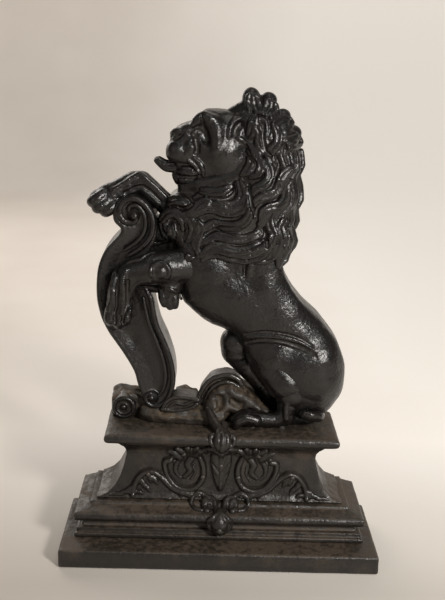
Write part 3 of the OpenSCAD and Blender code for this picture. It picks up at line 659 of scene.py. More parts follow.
for path in ([(-12, 15, 103, 5), (-9, 15, 111, 6.5), (-7, 17, 119, 6), (-2, 18, 125, 5.5), (5, 18, 128, 5)],
             [(2, 17, 125, 4), (10, 17, 124, 5), (19, 18, 118, 5.5), (29, 18, 111, 5.5), (38, 19, 106, 4.5)],
             [(-5, 14, 105, 5.5), (1, 15, 111, 6), (3, 16, 118, 5)], [(8, 17, 114, 5.5), (17, 18, 110, 5), (26, 18, 106, 4.5)],
             [(-36, 15, 109, 4.5), (-27, 14, 108.4, 4), (-20, 12, 106, 4)], [(-62, 16, 107, 4.5), (-52, 13, 106, 4), (-44, 11, 105, 4)],
             [(48, 22, 104, 4.5), (60, 24, 103, 3.5)]):
    rock.roll(curve([(x, y + dice.uniform(-1, 1), z, r) for x, y, z, r in path], 3), 3.5)
for path in ([(-4, 12, 122, 2.6), (-1, 12.4, 119, 2.2)], [(8, 12.5, 119, 2.4), (14, 13, 115, 2.2)], [(5, 12, 108, 2.8), (8, 12.6, 105, 2.4)],
             [(-9, 12, 106, 1.6), (-4, 12, 112, 1.8), (-1, 12.4, 116, 1.6)], [(22, 14, 112, 2.2), (30, 14.6, 106, 2.2)]):
    rock.roll(curve(path), 3, remove=True)
rock.rough(7, 0.7, 12)
rock.rough(3.2, 0.28, 13)
flat_back(rock)
finish(skin(rock, "rock_casting"), "rock_iron", "rock_ground")

arch = Clay((-24, 15, 101), (20, 45, 144), 0.6)
arch_line = [(-20, 104), (-19.6, 112), (-18.2, 121), (-14.6, 128.6), (-9.4, 134.4), (-3, 137.4), (4, 138.2), (11, 135.6),
             (15, 131)]
inner_line = [(-14.6, 104), (-14.6, 113), (-12.6, 120), (-9, 126), (-4, 130.4), (2, 132.4), (8, 131.4), (12.6, 128)]
arch.add(np.maximum(relief(arch, list(curve(arch_line)) + list(curve(inner_line))[::-1], 24, 2.5),
                    arch.y[None, :, None] - 42), 0)
for line, y, r in ((arch_line, 22.5, 2.3), (inner_line, 22, 1.9)):
    arch.roll([(x, y, z, r) for x, z in curve(line)], 0.9)
arch.rough(4, 0.2, 14)
flat_back(arch)
finish(skin(arch, "arch_casting", 1.8), "ornament_iron", "rock_arch")

ground_leaf = Clay((-52, 4, 104), (-16, 33, 128), 0.55)
leaf_edge = closed_curve([(-48, 111.6), (-45, 118.6), (-38, 122.6), (-29, 122.6), (-20, 120.4), (-21, 116), (-26, 113.4),
                          (-33, 112), (-40, 111.2)])
ground_leaf.add(relief(ground_leaf, leaf_edge, 11, 2), 0)
ground_leaf.take(30 - ground_leaf.y[None, :, None] + 0 * ground_leaf.d)
for line, r in (([(-48, 111.8), (-40, 111), (-32, 111.8), (-26, 113.4), (-20.6, 117)], 1.5),
                ([(-48, 111.8), (-45, 118.4), (-38, 122.2), (-29, 122.2), (-20, 120.6)], 1.6),
                ([(-44, 113.6), (-38, 117.6), (-31, 116.4), (-25, 119), (-20, 119.6)], 1.2)):
    ground_leaf.roll([(x, 10.6, z, r) for x, z in curve(line)], 0.8)
ground_leaf.rough(3, 0.09, 15)
finish(skin(ground_leaf, "ground_leaf_casting", 1.6), "ornament_iron", "ground_leaf")

# %% [markdown]
# ## The S-scroll
# A heavy band that stands on its lower curl and ends in a big volute under the far paw. Its face is
# slightly hollow. Two raised edgings run up its right side and wind into both curls. The edgings follow
# a path at an even width, so Geometry Nodes sweep them: one tree, fed each path as a line of vertices.

# %% Scroll body
scroll = Clay((-103, 10, 101), (-36, 45, 286), 0.8)
scroll_edge = closed_curve([(-66, 124), (-63, 116), (-56, 112), (-48, 113.5), (-42.5, 120), (-39, 129.5),
                            (-38.3, 138), (-39.7, 149), (-43, 160), (-47.6, 171), (-52, 181), (-55, 192.5), (-57, 203),
                            (-62, 214), (-64, 226), (-61, 238), (-56, 250), (-55, 262), (-60, 275), (-68, 282),
                            (-76, 283.5), (-84, 280), (-88.5, 272), (-88, 263), (-83, 257.5), (-84, 253), (-91, 245.5),
                            (-97, 236), (-101, 222), (-101.5, 207), (-100, 195), (-97, 184), (-92, 174), (-85, 164),
                            (-77, 152), (-71.5, 141.6), (-69, 133)])
edge = outline_distance(scroll_edge, scroll.x, scroll.z)[:, None, :]
scroll.add(relief(scroll, scroll_edge, 14, 2.2))
hollow = np.clip((-edge - 3.0) / 9.0, 0, 1)
scroll.take(np.maximum(edge + 3.5, scroll.y[None, :, None] - (14 + 2.4 * hollow)), 1.2)
# The volute is a shallow dished disc with a button in its eye.
scroll.roll([(-74.5, 20, 269, 8.2), (-73.5, 18.5, 268.6, 6.0)], 1.5)
scroll.roll([(-72.4, 13.4, 268, 3.0)], 1.2)
scroll.roll([(-57, 16, 120.5, 5.4)], 1.0)
scroll.roll([(-57.4, 11.6, 121, 2.4)], 0.8)
scroll.rough(10, 0.2, 16)
flat_back(scroll)
scroll_cover = closed_curve([(-64, 158), (-56, 166), (-60, 182), (-66, 198), (-71, 214), (-71, 230), (-70, 243),
                             (-78, 246), (-89, 238), (-93.5, 222), (-94, 206), (-92, 192), (-86, 177), (-77, 165)], 3)
scroll.take(np.maximum(outline_distance(scroll_cover, scroll.x, scroll.z)[:, None, :] - 0.35,
                       41.9 - scroll.y[None, :, None]))
scroll_piece = skin(scroll, "scroll_body")


# %% Edging by Geometry Nodes
def edging_tree():
    """A tree that sweeps a round bead along a line, thinning towards its two ends."""
    tree = bpy.data.node_groups.new("edging", "GeometryNodeTree")
    tree.interface.new_socket("Geometry", in_out="INPUT", socket_type="NodeSocketGeometry")
    bead_size = tree.interface.new_socket("Bead radius", in_out="INPUT", socket_type="NodeSocketFloat")
    bead_size.default_value = 0.002
    tree.interface.new_socket("Finish", in_out="INPUT", socket_type="NodeSocketMaterial")
    tree.interface.new_socket("Geometry", in_out="OUTPUT", socket_type="NodeSocketGeometry")
    n = tree.nodes
    start, end = n.new("NodeGroupInput"), n.new("NodeGroupOutput")
    to_curve = n.new("GeometryNodeMeshToCurve")
    even = n.new("GeometryNodeResampleCurve")
    even.inputs["Count"].default_value = 150
    share = n.new("GeometryNodeSplineParameter")
    taper = n.new("ShaderNodeFloatCurve")
    line = taper.mapping.curves[0]
    line.points[0].location, line.points[-1].location = (0, 0.45), (1, 0.6)
    line.points.new(0.12, 0.95)
    line.points.new(0.85, 1.0)
    taper.mapping.update()
    thickness = n.new("GeometryNodeSetCurveRadius")
    circle = n.new("GeometryNodeCurvePrimitiveCircle")
    circle.inputs["Resolution"].default_value = 18
    sweep = n.new("GeometryNodeCurveToMesh")
    sweep.inputs["Fill Caps"].default_value = True
    smooth = n.new("GeometryNodeSetShadeSmooth")
    real = n.new("GeometryNodeRealizeInstances")
    paint = n.new("GeometryNodeSetMaterial")
    link = tree.links.new
    link(start.outputs["Geometry"], to_curve.inputs["Mesh"])
    link(to_curve.outputs["Curve"], even.inputs["Curve"])
    link(even.outputs["Curve"], thickness.inputs["Curve"])
    link(share.outputs["Factor"], taper.inputs["Value"])
    link(taper.outputs["Value"], thickness.inputs["Radius"])
    link(start.outputs["Bead radius"], circle.inputs["Radius"])
    link(thickness.outputs["Curve"], sweep.inputs["Curve"])
    link(circle.outputs["Curve"], sweep.inputs["Profile Curve"])
    if "Scale" in sweep.inputs:
        link(taper.outputs["Value"], sweep.inputs["Scale"])
    link(sweep.outputs["Mesh"], smooth.inputs["Geometry"])
    link(smooth.outputs["Geometry"], real.inputs["Geometry"])
    link(real.outputs["Geometry"], paint.inputs["Geometry"])
    link(start.outputs["Finish"], paint.inputs["Material"])
    link(paint.outputs["Geometry"], end.inputs["Geometry"])
    return tree


def run_tree(tree, mesh, values, name):
    """Feeds a mesh to a tree and returns the result as a plain mesh object."""
    carrier = bpy.data.objects.new(name + "_carrier", mesh)
    bpy.context.scene.collection.objects.link(carrier)
    modifier = carrier.modifiers.new("tree", "NODES")
    modifier.node_group = tree
    for item in tree.interface.items_tree:
        if item.item_type == "SOCKET" and item.in_out == "INPUT" and item.name in values:
            modifier[item.identifier] = values[item.name]
    graph = bpy.context.evaluated_depsgraph_get()
    result = bpy.data.meshes.new_from_object(carrier.evaluated_get(graph))
    result.name = name
    bpy.data.objects.remove(carrier)
    piece = bpy.data.objects.new(name, result)
    bpy.context.scene.collection.objects.link(piece)
    return piece


def joined(pieces, name):
    """One object out of several, each already in its place."""
    work = bmesh.new()
    for p in pieces:
        work.from_mesh(p.data)
    mesh = bpy.data.meshes.new(name)
    work.to_mesh(mesh)
    work.free()
    for p in pieces:
        bpy.data.objects.remove(p)
    mesh.polygons.foreach_set("use_smooth", np.ones(len(mesh.polygons), bool))
    piece = bpy.data.objects.new(name, mesh)
    bpy.context.scene.collection.objects.link(piece)
    return piece


edging = edging_tree()
EDGING_LINES = [
    ([(-57, 124.6), (-61.4, 122.4), (-60.6, 116.4), (-55, 113.4), (-48.6, 115), (-43.8, 121), (-41, 130), (-40.3, 138),
      (-41.7, 149), (-45, 160), (-49.6, 171), (-54, 181), (-57, 192.5), (-59, 203), (-64, 213)], 2.1, 13.4),
    ([(-52.6, 121), (-49.4, 125), (-47.2, 131), (-46.4, 139), (-47.6, 149), (-50.8, 160), (-55.2, 171), (-59.6, 181.6),
      (-62.6, 192.6), (-65, 204)], 1.7, 13.8),
    ([(-70, 266), (-73, 262.6), (-79, 263.4), (-83, 268), (-83, 275), (-77.6, 280.4), (-69.4, 280.4), (-62.4, 274.6),
      (-58.4, 266), (-58.6, 256), (-62.4, 248), (-69, 241.6), (-77, 236.4)], 2.2, 13.4),
    ([(-77, 271), (-76, 275), (-70.6, 276), (-66, 271.6), (-64, 265), (-64.4, 257.6), (-67.6, 251), (-73, 245.6),
      (-80, 240.6)], 1.7, 13.6),
]
edging_pieces = []
for count, (path, radius, depth) in enumerate(EDGING_LINES):
    spine = curve(path, 6)
    line_mesh = bpy.data.meshes.new("edging_line")
    line_mesh.from_pydata([(x * MM, depth * MM, z * MM) for x, z in spine],
                          [(i, i + 1) for i in range(len(spine) - 1)], [])
    edging_pieces.append(run_tree(edging, line_mesh, {"Bead radius": radius * MM, "Finish": IRON["figure_iron"]},
                                  f"edging_{count}"))
print("edging:", [len(p.data.polygons) for p in edging_pieces], "faces")
finish(joined([scroll_piece] + edging_pieces, "scroll_casting"), "figure_iron", "scroll")

# %% Roll at the scroll's foot
foot_roll = Clay((-91, 12, 99), (-68, 45, 122), 0.55)
radial = np.hypot((foot_roll.x + 79.5)[:, None], (foot_roll.z - 110.5)[None, :])[:, None, :]
deep = foot_roll.y[None, :, None]
foot_roll.add(np.maximum(radial - 9.5, 16 - deep))
foot_roll.take(np.hypot(np.maximum(radial - 4.6, 0), deep - 14.6) - 3.0, 1.0)
foot_roll.add(np.hypot(radial - 8.0, deep - 16) - 1.5, 0.8)
foot_roll.roll([(-79.8, 17, 110.5, 2.6)], 1.0)
foot_roll.rough(5, 0.2, 17)
flat_back(foot_roll)
finish(skin(foot_roll, "roll_casting", 1.8), "figure_iron", "scroll_roll")

# %% [markdown]
# ## The lion's body
# Trunk, neck and near haunch are one casting, flat at the back. An outline gives the silhouette, big balls
# of clay give the ribs, loins and haunch, and a groove under a lip parts the haunch from the flank.


# %% Body
def seen_on(clay, plane, points, lift=0.0, even=0):
    """Lines (x, z, radius) drawn on a plane, slid along the view on to the clay's front."""
    surface = clay.front()
    out = []
    for x, z, r in curve(points, 5):
        y = plane
        for _ in range(3):
            px, pz = slid(x, z, plane, y)
            i = int(np.clip(round((px - clay.x[0]) / clay.step), 0, len(clay.x) - 1))
            k = int(np.clip(round((pz - clay.z[0]) / clay.step), 0, len(clay.z) - 1))
            y = float(surface[i, k])
        out.append([px, y - lift, pz, max(r, 0.35)])
    out = np.array(out)
    for _ in range(even or 2):
        out[1:-1, 1] = (out[:-2, 1] + 2 * out[1:-1, 1] + out[2:, 1]) / 4
    return out


body = Clay((-71, -9, 101), (99, 45, 272), 0.9)
body_edge = closed_curve([(67, 101.5), (77, 106.4), (84.6, 111.6), (91, 118.6), (95.6, 127), (97.6, 138), (96.4, 153), (93, 164), (88, 173),
                          (82, 181), (75, 189), (66, 197), (58, 205), (50, 215), (45, 226), (41, 240), (30, 262),
                          (0, 270), (-28, 266), (-40, 252), (-42, 232), (-39, 216), (-34.6, 201), (-30, 196), (-24, 190.4),
                          (-18, 185.6), (-12, 182.2), (-6, 180), (0, 177.6), (8, 173), (14, 162), (20, 148), (30, 134),
                          (45, 121), (52, 108), (60, 101)], 3)
body.add(relief(body, body_edge, 5, 19))
body.roll([(-20, 24, 238, 19), (-8, 23, 214, 20), (14, 23, 204, 20.5), (36, 24, 190, 20), (58, 25, 173, 20)], 8)
body.roll([(28, 24, 240, 18), (32, 24, 216, 18.5), (46, 25, 198, 18)], 8)
body.roll([(70, 23, 153, 26), (71, 23, 141, 26.5), (69, 23, 132, 23)], 6)
body.roll([(54, 19, 152, 20), (42, 18, 157, 18)], 8)
trim(body, body_edge)
# A web behind the forelegs ties the chest to the scroll.
body.add(relief(body, [(-30, 268), (-60, 264), (-64, 250), (-66, 236), (-68, 218), (-50, 212), (-38, 214), (-30, 240)], 26, 4), 3)
for line, r0, lift, k in (
        ([(15, 179.4, 0.8), (30, 181, 1.4), (45, 180.2, 1.5), (58, 176.6, 1.3), (68, 170.6, 0.6)], 0, 0.4, 1.2),
        ([(17, 172, 1.6), (30, 174.4, 2.2), (45, 173.4, 2.3), (58, 169.8, 2.0), (70, 164.6, 0.9)], 0, 0.2, 1.8)):
    body.roll(seen_on(body, 4, line, lift), k, remove=True)
body.roll(seen_on(body, 4, [(17, 177, 0.8), (30, 178, 1.3), (46, 177, 1.4), (60, 173.2, 1.2), (71.6, 166.6, 0.8)], 0.2), 1.0)
# Elbow hollow behind the shoulder, and the slit under the mane.
body.roll(seen_on(body, 8, [(13.4, 236, 1.4), (13.4, 230, 1.5), (13, 224, 0.7)], -0.2), 1.6, remove=True)
body.roll(seen_on(body, 8, [(17, 236, 1.2), (17, 231, 1.8), (16.4, 226, 0.8)], 0.2), 2.0)
body.rough(13, 0.35, 18)
body.rough(3, 0.09, 19)
flat_back(body)
body_cover = closed_curve([(-10, 226), (8, 232), (24, 229), (37, 211), (52, 190), (66, 170), (74, 152), (70, 135),
                           (60, 133), (52, 147), (40, 168), (16, 190), (-5, 206)], 3)
body.take(np.maximum(outline_distance(body_cover, body.x, body.z)[:, None, :] - 0.35,
                     41.9 - body.y[None, :, None]))
finish(skin(body, "body_casting"), "figure_iron", "lion_body")

# %% [markdown]
# ## Hind legs and tail
# The near leg folds under: knee up, shank back down to the hock, and a long foot forward along the ground
# with its toes spread. The far leg shows only as a knee behind it. The tail's end lies round the haunch.

# %% Hind legs and tail
near_hind = Clay((4, -10, 101), (70, 30, 178), 0.7)
near_hind.roll([(36, 17, 159, 14), (41, 15.4, 150, 16), (50, 13.6, 138, 17), (54, 11.6, 129, 13.6), (52, 8.6, 120, 8.6),
                (49.6, 6.6, 112, 6.4)], 6)
near_hind.roll([(50, 6.6, 108.6, 6.4), (42, 6, 107, 5.8), (28, 6, 107.6, 6.2), (20, 6, 107.6, 6.4)], 3)
near_hind.roll([(54, 16, 108, 8), (68, 17, 105, 6)], 4)
for y0, x1, z1 in ((0.4, 12.6, 106.6), (5.4, 10.6, 107), (10.4, 11.6, 106.6), (15, 14.6, 106)):
    near_hind.roll(curve([(27, y0, 108.6, 4.0), (18, y0 - 0.6, 110.4, 4.2), (x1, y0 - 0.8, z1, 3.6), (x1 - 1.4, y0 - 0.8, z1 - 3.2, 2.4)]),
                   0.8)
near_hind.roll(seen_on(near_hind, 4, [(50, 121, 1.4), (50.6, 115, 2.0), (51, 109, 1.4)], 0.5), 2.4)
near_hind.rough(9, 0.25, 20)
near_hind.rough(3, 0.09, 21)
flat_back(near_hind)
finish(skin(near_hind, "near_hind_casting"), "figure_iron", "near_hind_leg")

far_hind = Clay((-8, 14, 101), (52, 45, 184), 0.8)
far_hind.roll([(26, 34, 166, 12), (14, 31, 166, 13), (9.6, 30, 163.6, 13.2), (10, 31, 157, 12.5), (16, 33, 147, 10),
               (26, 34, 134, 8), (36, 35, 122, 7.5), (42, 36, 110, 7)], 3)
far_hind.rough(9, 0.25, 22)
far_hind.rough(3, 0.09, 23)
flat_back(far_hind)
finish(skin(far_hind, "far_hind_casting"), "figure_iron", "far_hind_leg")

tail = Clay((58, -5, 101), (97, 40, 126), 0.6)
tail.roll(curve([(76, 30, 108.4, 5.0), (78, 20, 108.6, 5.0), (77.6, 11, 110, 5.0), (76, 5.6, 111.6, 4.8), (71, 3.4, 112.4, 4.6),
                 (66, 3.4, 113, 3.8), (63.6, 4, 114, 3.0)]), 1.5)
tail.roll(curve([(77, 3, 113, 1.6), (71, 0.4, 114.6, 1.8), (65, 0.8, 115.6, 1.2)]), 2.4)
tail.rough(5, 0.2, 24)
flat_back(tail)
finish(skin(tail, "tail_casting"), "figure_iron", "tail")

# %% [markdown]
# ## Forelegs
# The near foreleg crosses the scroll and lets its paw hang down over it; a round knob marks the elbow and
# a tuft hangs behind. The far foreleg bends over the volute and reaches forward.

# %% Forelegs
body_front = body.front()


def body_skin(clay):
    """The body's front surface, read off at the columns of another piece's grid."""
    i = np.clip(np.rint((clay.x - body.x[0]) / body.step).astype(int), 0, len(body.x) - 1)
    j = np.clip(np.rint((clay.z - body.z[0]) / body.step).astype(int), 0, len(body.z) - 1)
    return body_front[np.ix_(i, j)]


near_fore = Clay((-97, -8, 176), (2, 40, 252), 0.65)
near_fore.roll([(-10, 27, 226, 13), (-24, 21, 228.6, 14.4), (-37, 15, 230, 14), (-47, 10, 229.4, 13.6), (-60, 8, 228, 12.4), (-71, 8, 225.6, 10.6),
                (-79, 8, 219, 10.4), (-82.4, 8, 209, 10), (-83.6, 8, 199, 9.4), (-84, 7.6, 191.4, 8.8)], 3)
spare = 0.35 * np.clip(-14 - near_fore.x, 0, 99) + 0.8 * np.clip(-33 - near_fore.x, 0, 99) ** 2
stands_out = body_skin(near_fore)[:, None, :] - near_fore.y[None, :, None] - spare[:, None, None]
near_fore.d = -soft_union(-near_fore.d, -stands_out + 0.3, 2.0)
near_fore.roll([(-44, 13, 224, 11), (-43, 11, 214, 8.6), (-44, 10, 208, 6)], 3)
near_fore.roll([(-68, 19, 214, 6), (-50, 17, 213, 6)], 3)
for x, z, r in ((-89.6, 189, 5.0), (-83, 187, 5.2), (-77.4, 189.4, 4.6)):
    near_fore.roll([(x + 0.4, 4, z + 6, r - 0.4), (x, 3.4, z, r), (x, 6, z - 3, r * 0.8)], 0.9)
for line, lift in (
        ([(-44, 246, 1.0), (-51, 245.4, 1.6), (-60, 243, 2.0), (-74, 238.6, 2.0), (-85, 232.4, 1.6), (-88.6, 225, 1.2)], 0.2),
        ([(-87, 224, 1.4), (-88.4, 213, 1.8), (-89, 203, 1.9), (-91.6, 194.6, 1.6)], 0.2),
        ([(-77, 227, 1.4), (-80.4, 219, 2.2), (-80.2, 208, 2.4), (-80, 198, 2.2), (-81, 191.6, 1.8)], 0.7),
        ([(-60, 219, 1.2), (-68, 217.6, 1.8), (-73, 212, 2.0), (-74, 202, 1.9), (-75, 193, 1.4)], 0.1),
        ([(-66, 214.6, 1.2), (-57, 213.6, 1.7), (-47, 213.4, 1.7), (-39, 210.4, 1.4), (-35, 205, 1.0)], 0.3)):
    near_fore.roll(seen_on(near_fore, 8, line, lift), 1.3)
for line in ([(-84, 228, 1.0), (-84.6, 214, 1.4), (-85, 200, 1.3), (-86.4, 192, 1.0)],
             [(-76.4, 218, 1.0), (-76.6, 208, 1.3), (-77, 198, 1.2), (-79.6, 190, 0.9)],
             [(-44, 243.4, 0.9), (-58, 240.4, 1.2), (-72, 235, 1.2), (-80, 230, 0.9)],
             [(-86.4, 189, 1.1), (-86, 184, 1.2)], [(-80, 188.6, 1.1), (-80.4, 183.4, 1.2)]):
    near_fore.roll(seen_on(near_fore, 8, line, -0.2), 1.2, remove=True)
KNOB_X, KNOB_Z, KNOB_R = -52, 226, 7.2
knob_ring = [(KNOB_X + KNOB_R * math.cos(a), KNOB_Z + KNOB_R * math.sin(a), 1.5) for a in np.linspace(-0.6, 3.6, 14)]
near_fore.roll(seen_on(near_fore, 8, knob_ring, 0.0), 1.4)
near_fore.roll(seen_on(near_fore, 8, [(KNOB_X + 0.6, KNOB_Z - 0.6, 5.4), (KNOB_X + 1, KNOB_Z - 1, 5.4)], -3.6), 1.0)
for x0, z0, x1, z1 in ((-50, 210, -48, 200.6), (-46, 211, -43.6, 198.6), (-41, 210, -39.6, 199.4)):
    near_fore.roll(curve([(x0, 9, z0, 3.4), ((x0 + x1) / 2, 7.4, (z0 + z1) / 2, 3.8), (x1, 8.4, z1, 3.0)]), 0.9)
near_fore.rough(8, 0.22, 25)
near_fore.rough(2.6, 0.09, 26)
finish(skin(near_fore, "near_fore_casting", 1.9), "figure_iron", "near_foreleg")

far_fore = Clay((-113, 12, 254), (-30, 45, 306), 0.65)
far_fore.roll([(-38, 32, 265, 9), (-50, 31, 275.4, 8.4), (-60, 30, 284.4, 8.4), (-68, 30, 291.4, 8.8), (-75, 30, 290.4, 9.2),
               (-86, 29, 284, 9.6), (-96, 28, 279, 9.2), (-100, 28, 277, 8.6)], 3)
far_fore.roll([(-93, 28, 280, 9), (-93, 27, 274, 8)], 3)
for x, z, r in ((-104.8, 277.6, 4.8), (-101, 273, 4.8), (-94.8, 270.6, 5.0)):
    far_fore.roll(curve([(x + 8, 22, z + 5, 4.4), (x + 3, 19.6, z + 1.4, 4.9), (x, 20.4, z - 0.6, r), (x - 0.6, 24, z - 2, r * 0.8)]), 0.9)
far_fore.roll(seen_on(far_fore, 24, [(-46, 279, 1.2), (-58, 290, 1.7), (-66, 296.4, 2.0), (-70, 299, 1.6)], 0.2), 2.0)
far_fore.roll(seen_on(far_fore, 24, [(-70, 298.6, 1.6), (-79, 293, 1.8), (-90, 285.4, 1.6)], 0.2), 2.2)
far_fore.roll(seen_on(far_fore, 24, [(-52, 277, 0.9), (-62, 286, 1.3), (-69, 289, 1.0), (-80, 284, 0.8)], -0.2), 2.0, remove=True)
far_fore.rough(8, 0.22, 27)
far_fore.rough(2.6, 0.09, 28)
flat_back(far_fore)
finish(skin(far_fore, "far_fore_casting", 1.9), "figure_iron", "far_foreleg")

# %% [markdown]
# ## The head
# A blunt muzzle with a heavy upper lip, an open mouth with the tongue curled out, a brow that overhangs
# the eye, and a broad smooth cheek. Features are drawn on a plane and slid on to the clay.

# %% Head
head = Clay((-62, -6, 284), (22, 45, 352), 0.6)
head_edge = closed_curve([(8, 346), (-2, 348.6), (-12, 349.2), (-20, 348.6), (-25, 345), (-29, 340.4), (-35, 338), (-41.6, 335),
                          (-45.6, 330.4), (-47, 325), (-49, 319.6), (-49.6, 314), (-47, 309.6), (-44, 306), (-43.6, 300),
                          (-41.6, 295.4), (-38.6, 292), (-34, 291), (-24, 291.6), (-8, 293), (6, 299), (13, 308), (16, 326),
                          (14, 340)], 3)
head.add(relief(head, head_edge, 11, 12))
head.roll([(-7, 23, 318, 19.5), (-3, 24, 312, 18)], 8)
head.roll([(-9, 22, 334, 15), (2, 24, 334, 15)], 6)
head.roll([(-40, 16.6, 318.6, 10.6), (-35, 17, 317, 10.4)], 4)
head.roll([(-41.4, 18, 330, 5.8), (-34, 17, 333, 8), (-26, 18, 336, 10), (-18, 19, 337, 12)], 5)
head.roll([(-24, 20, 322, 12), (-22, 22, 308, 11)], 6)
head.roll([(-40, 22, 299, 4.4), (-34, 20, 298, 5.8), (-26, 21, 299, 7)], 4)


def face_line(points, lift=0.0, k=1.0, remove=False):
    head.roll(seen_on(head, 8, points, lift), k, remove)


trim(head, head_edge, 0.9, 4)
face_line([(-25.6, 335, 3.2), (-21.6, 332.6, 3.8), (-19.4, 328, 3.0)], -0.5, 5.0, True)
face_line([(-28.6, 330, 1.4), (-27, 325, 1.6), (-26.2, 319, 1.4)], -0.6, 4.0, True)
face_line([(-46.6, 326.4, 1.0), (-43.6, 327.2, 1.4), (-39.6, 329.2, 1.2), (-36.6, 331.6, 0.8)], 0, 1.4, True)
face_line([(-29.4, 339, 2.0), (-25.6, 342.6, 3.6), (-21, 344.6, 4.2), (-17.4, 343, 3.4)], 0.9, 2.4)
face_line([(-23.4, 346, 0.8), (-22.4, 341, 1.1), (-21.6, 337.6, 0.8)], -0.1, 1.0, True)
face_line([(-14, 343, 2.4), (-12.4, 337, 3.8), (-11.4, 329.6, 3.6), (-12, 322, 2.2)], -1.2, 5.0)
face_line([(-28.6, 335, 0.6), (-26.4, 336.6, 0.9), (-23.4, 336.4, 0.9), (-21.4, 334.4, 0.6)], 0.1, 1.2)
for x, z, r in ((-30.6, 327.6, 2.0), (-31.4, 322.4, 3.2)):
    face_line([(x, z, r), (x + 0.8, z - 0.4, r)], -0.8, 2.6)
face_line([(-45, 331.8, 1.6), (-42.4, 333.4, 2.2), (-39.6, 333.8, 1.8)], 0.2, 2.0)
face_line([(-45.6, 329.6, 1.0), (-43.8, 330.2, 1.2)], 0.3, 0.8, True)
face_line([(-50, 311, 1.5), (-44, 309.8, 1.6), (-36, 309, 1.5), (-29.6, 308.2, 1.6), (-25.8, 305, 1.1)], 0.2, 1.0, True)
face_line([(-32, 312, 1.0), (-28.8, 310.2, 1.7), (-25.6, 307, 1.7), (-23.6, 303, 1.0)], 0.6, 0.8)
face_line([(-28, 314, 1.0), (-24, 311, 1.9), (-21.2, 306, 2.0), (-20.8, 300.6, 1.1)], 0.5, 1.4)
face_line([(-39.4, 303.8, 1.8), (-33.6, 303.6, 2.9), (-27.6, 302.8, 2.3), (-25, 304, 1.2)], 0.7, 1.2)
face_line([(-36.6, 306.6, 1.0), (-32.4, 306.4, 1.4), (-29, 305.4, 1.0)], 0.2, 0.8)
face_line([(-39, 299.8, 0.8), (-33, 299.4, 1.1), (-26, 299.4, 0.9)], -0.2, 1.6, True)
face_line([(-42.6, 301, 1.6), (-41, 297.6, 2.2), (-38, 293.6, 2.0), (-35.4, 291.6, 1.2)], 0.1, 2.4)
# The tongue curls up and out of the mouth.
for y in (18.4, 22.6, 26.4):
    head.roll(curve([(-35, y, 306, 3.0), (-42.6, y, 304.8, 3.4), (-49, y, 305.2, 3.4), (-53.6, y, 307.8, 3.0),
                     (-56.2, y, 310, 2.3)]), 1.0)
for y in (17, 27.6):
    head.roll(curve([(-44, y, 308.4, 1.1), (-50, y, 309, 1.2), (-54.6, y, 311.6, 1.1)]), 0.8)
# The ear: a dark hollow, an arched rim above it and a fold that runs down behind the cheek.
EAR_HOLLOW = [(3.0, 329, 1.6), (2.4, 335, 2.4), (5.4, 340, 2.8), (10.4, 340.6, 2.4), (13, 337.6, 1.4)]
face_line(EAR_HOLLOW, 0.8, 1.8, True)
face_line([(-2.4, 331, 1.2), (-1.6, 338, 1.9), (2.4, 343.6, 2.0), (8, 345, 1.8)], 0.2, 1.8)
face_line([(2.6, 330, 1.2), (7.6, 328.4, 1.7), (11.6, 323.6, 1.8), (12.6, 315, 1.7), (11, 307, 1.2)], 0.6, 1.6)
head.rough(8, 0.18, 29)
head.rough(2.4, 0.09, 30)
flat_back(head)
finish(skin(head, "head_casting", 1.8), "figure_iron", "head")

# %% [markdown]
# ## The mane
# Wavy locks, each a bundle of two rounded strands that draw together at the tip. The bundles are
# laid over a rounded mass, so that their tips lap the face, the shoulder and the flank. Strands run side
# by side along one line, each offset square to it, which keeps them parallel through every bend.

# %% Mane mass
mane = Clay((-58, -10, 224), (58, 45, 367), 0.75)
mane_edge = closed_curve([(44, 231), (48, 241), (51.4, 250), (49.6, 260), (49, 266), (52, 274), (53.6, 286), (52, 298),
                          (53, 310), (51, 322), (50, 330), (46, 340), (38, 346), (26, 350), (12, 352), (2, 349),
                          (-1, 342), (6, 334), (12, 324), (14, 312), (11, 302), (0, 296), (-14, 292), (-30, 289.6),
                          (-41, 285.6), (-48, 279), (-52, 268), (-52, 257), (-46, 249), (-37, 242), (-30, 235), (-20, 236),
                          (-8, 236), (6, 234), (20, 234), (31, 234), (38, 229)], 3)
mane.add(relief(mane, mane_edge, 7, 17))
mane.roll([(16, 24, 330, 16), (30, 25, 316, 17), (32, 25, 290, 18), (30, 25, 262, 18)], 5)
mane.roll([(24, 22, 304, 20.4), (18, 21, 280, 19.6), (8, 19, 262, 17)], 5)
mane.roll([(-2, 18, 278, 15.6), (-20, 19, 268, 14.6), (-36, 21, 266, 12)], 5)
mane.roll([(-34, 24, 283, 7), (-18, 22, 287, 9), (0, 21, 292, 11)], 4)
trim(mane, mane_edge, 0.6)
mane.roll([(-34, 22, 292, 6.4), (-22, 18.6, 293.6, 9), (-6, 17, 296, 10.6), (6, 17, 303, 11), (12.6, 18, 314, 10)], 4)
mane.roll([(30, 21, 252, 17), (15, 19.4, 247, 17), (-2, 18.4, 247, 16.4), (-16, 18, 248, 14.6), (-28, 19, 248, 13)], 4)
mane.roll([(-44, 31, 262, 11), (-50, 34, 252, 9)], 4)
for tip, root, r in (((13.4, 23, 359.8), (13, 24, 346), 8.0), ((26.6, 23, 357), (25, 24, 344), 7.8),
                     ((37.6, 23, 345.2), (33, 24, 336), 7.8), ((46.6, 23, 333.4), (39, 24, 328), 7.4)):
    mane.roll([(*root, r), (*[(a + b) / 2 for a, b in zip(root, tip)], r * 0.96), (*tip, r * 0.82)], 2.5)
mane.roll([(-3, 26, 344, 5.4), (6, 24, 349, 6)], 3)


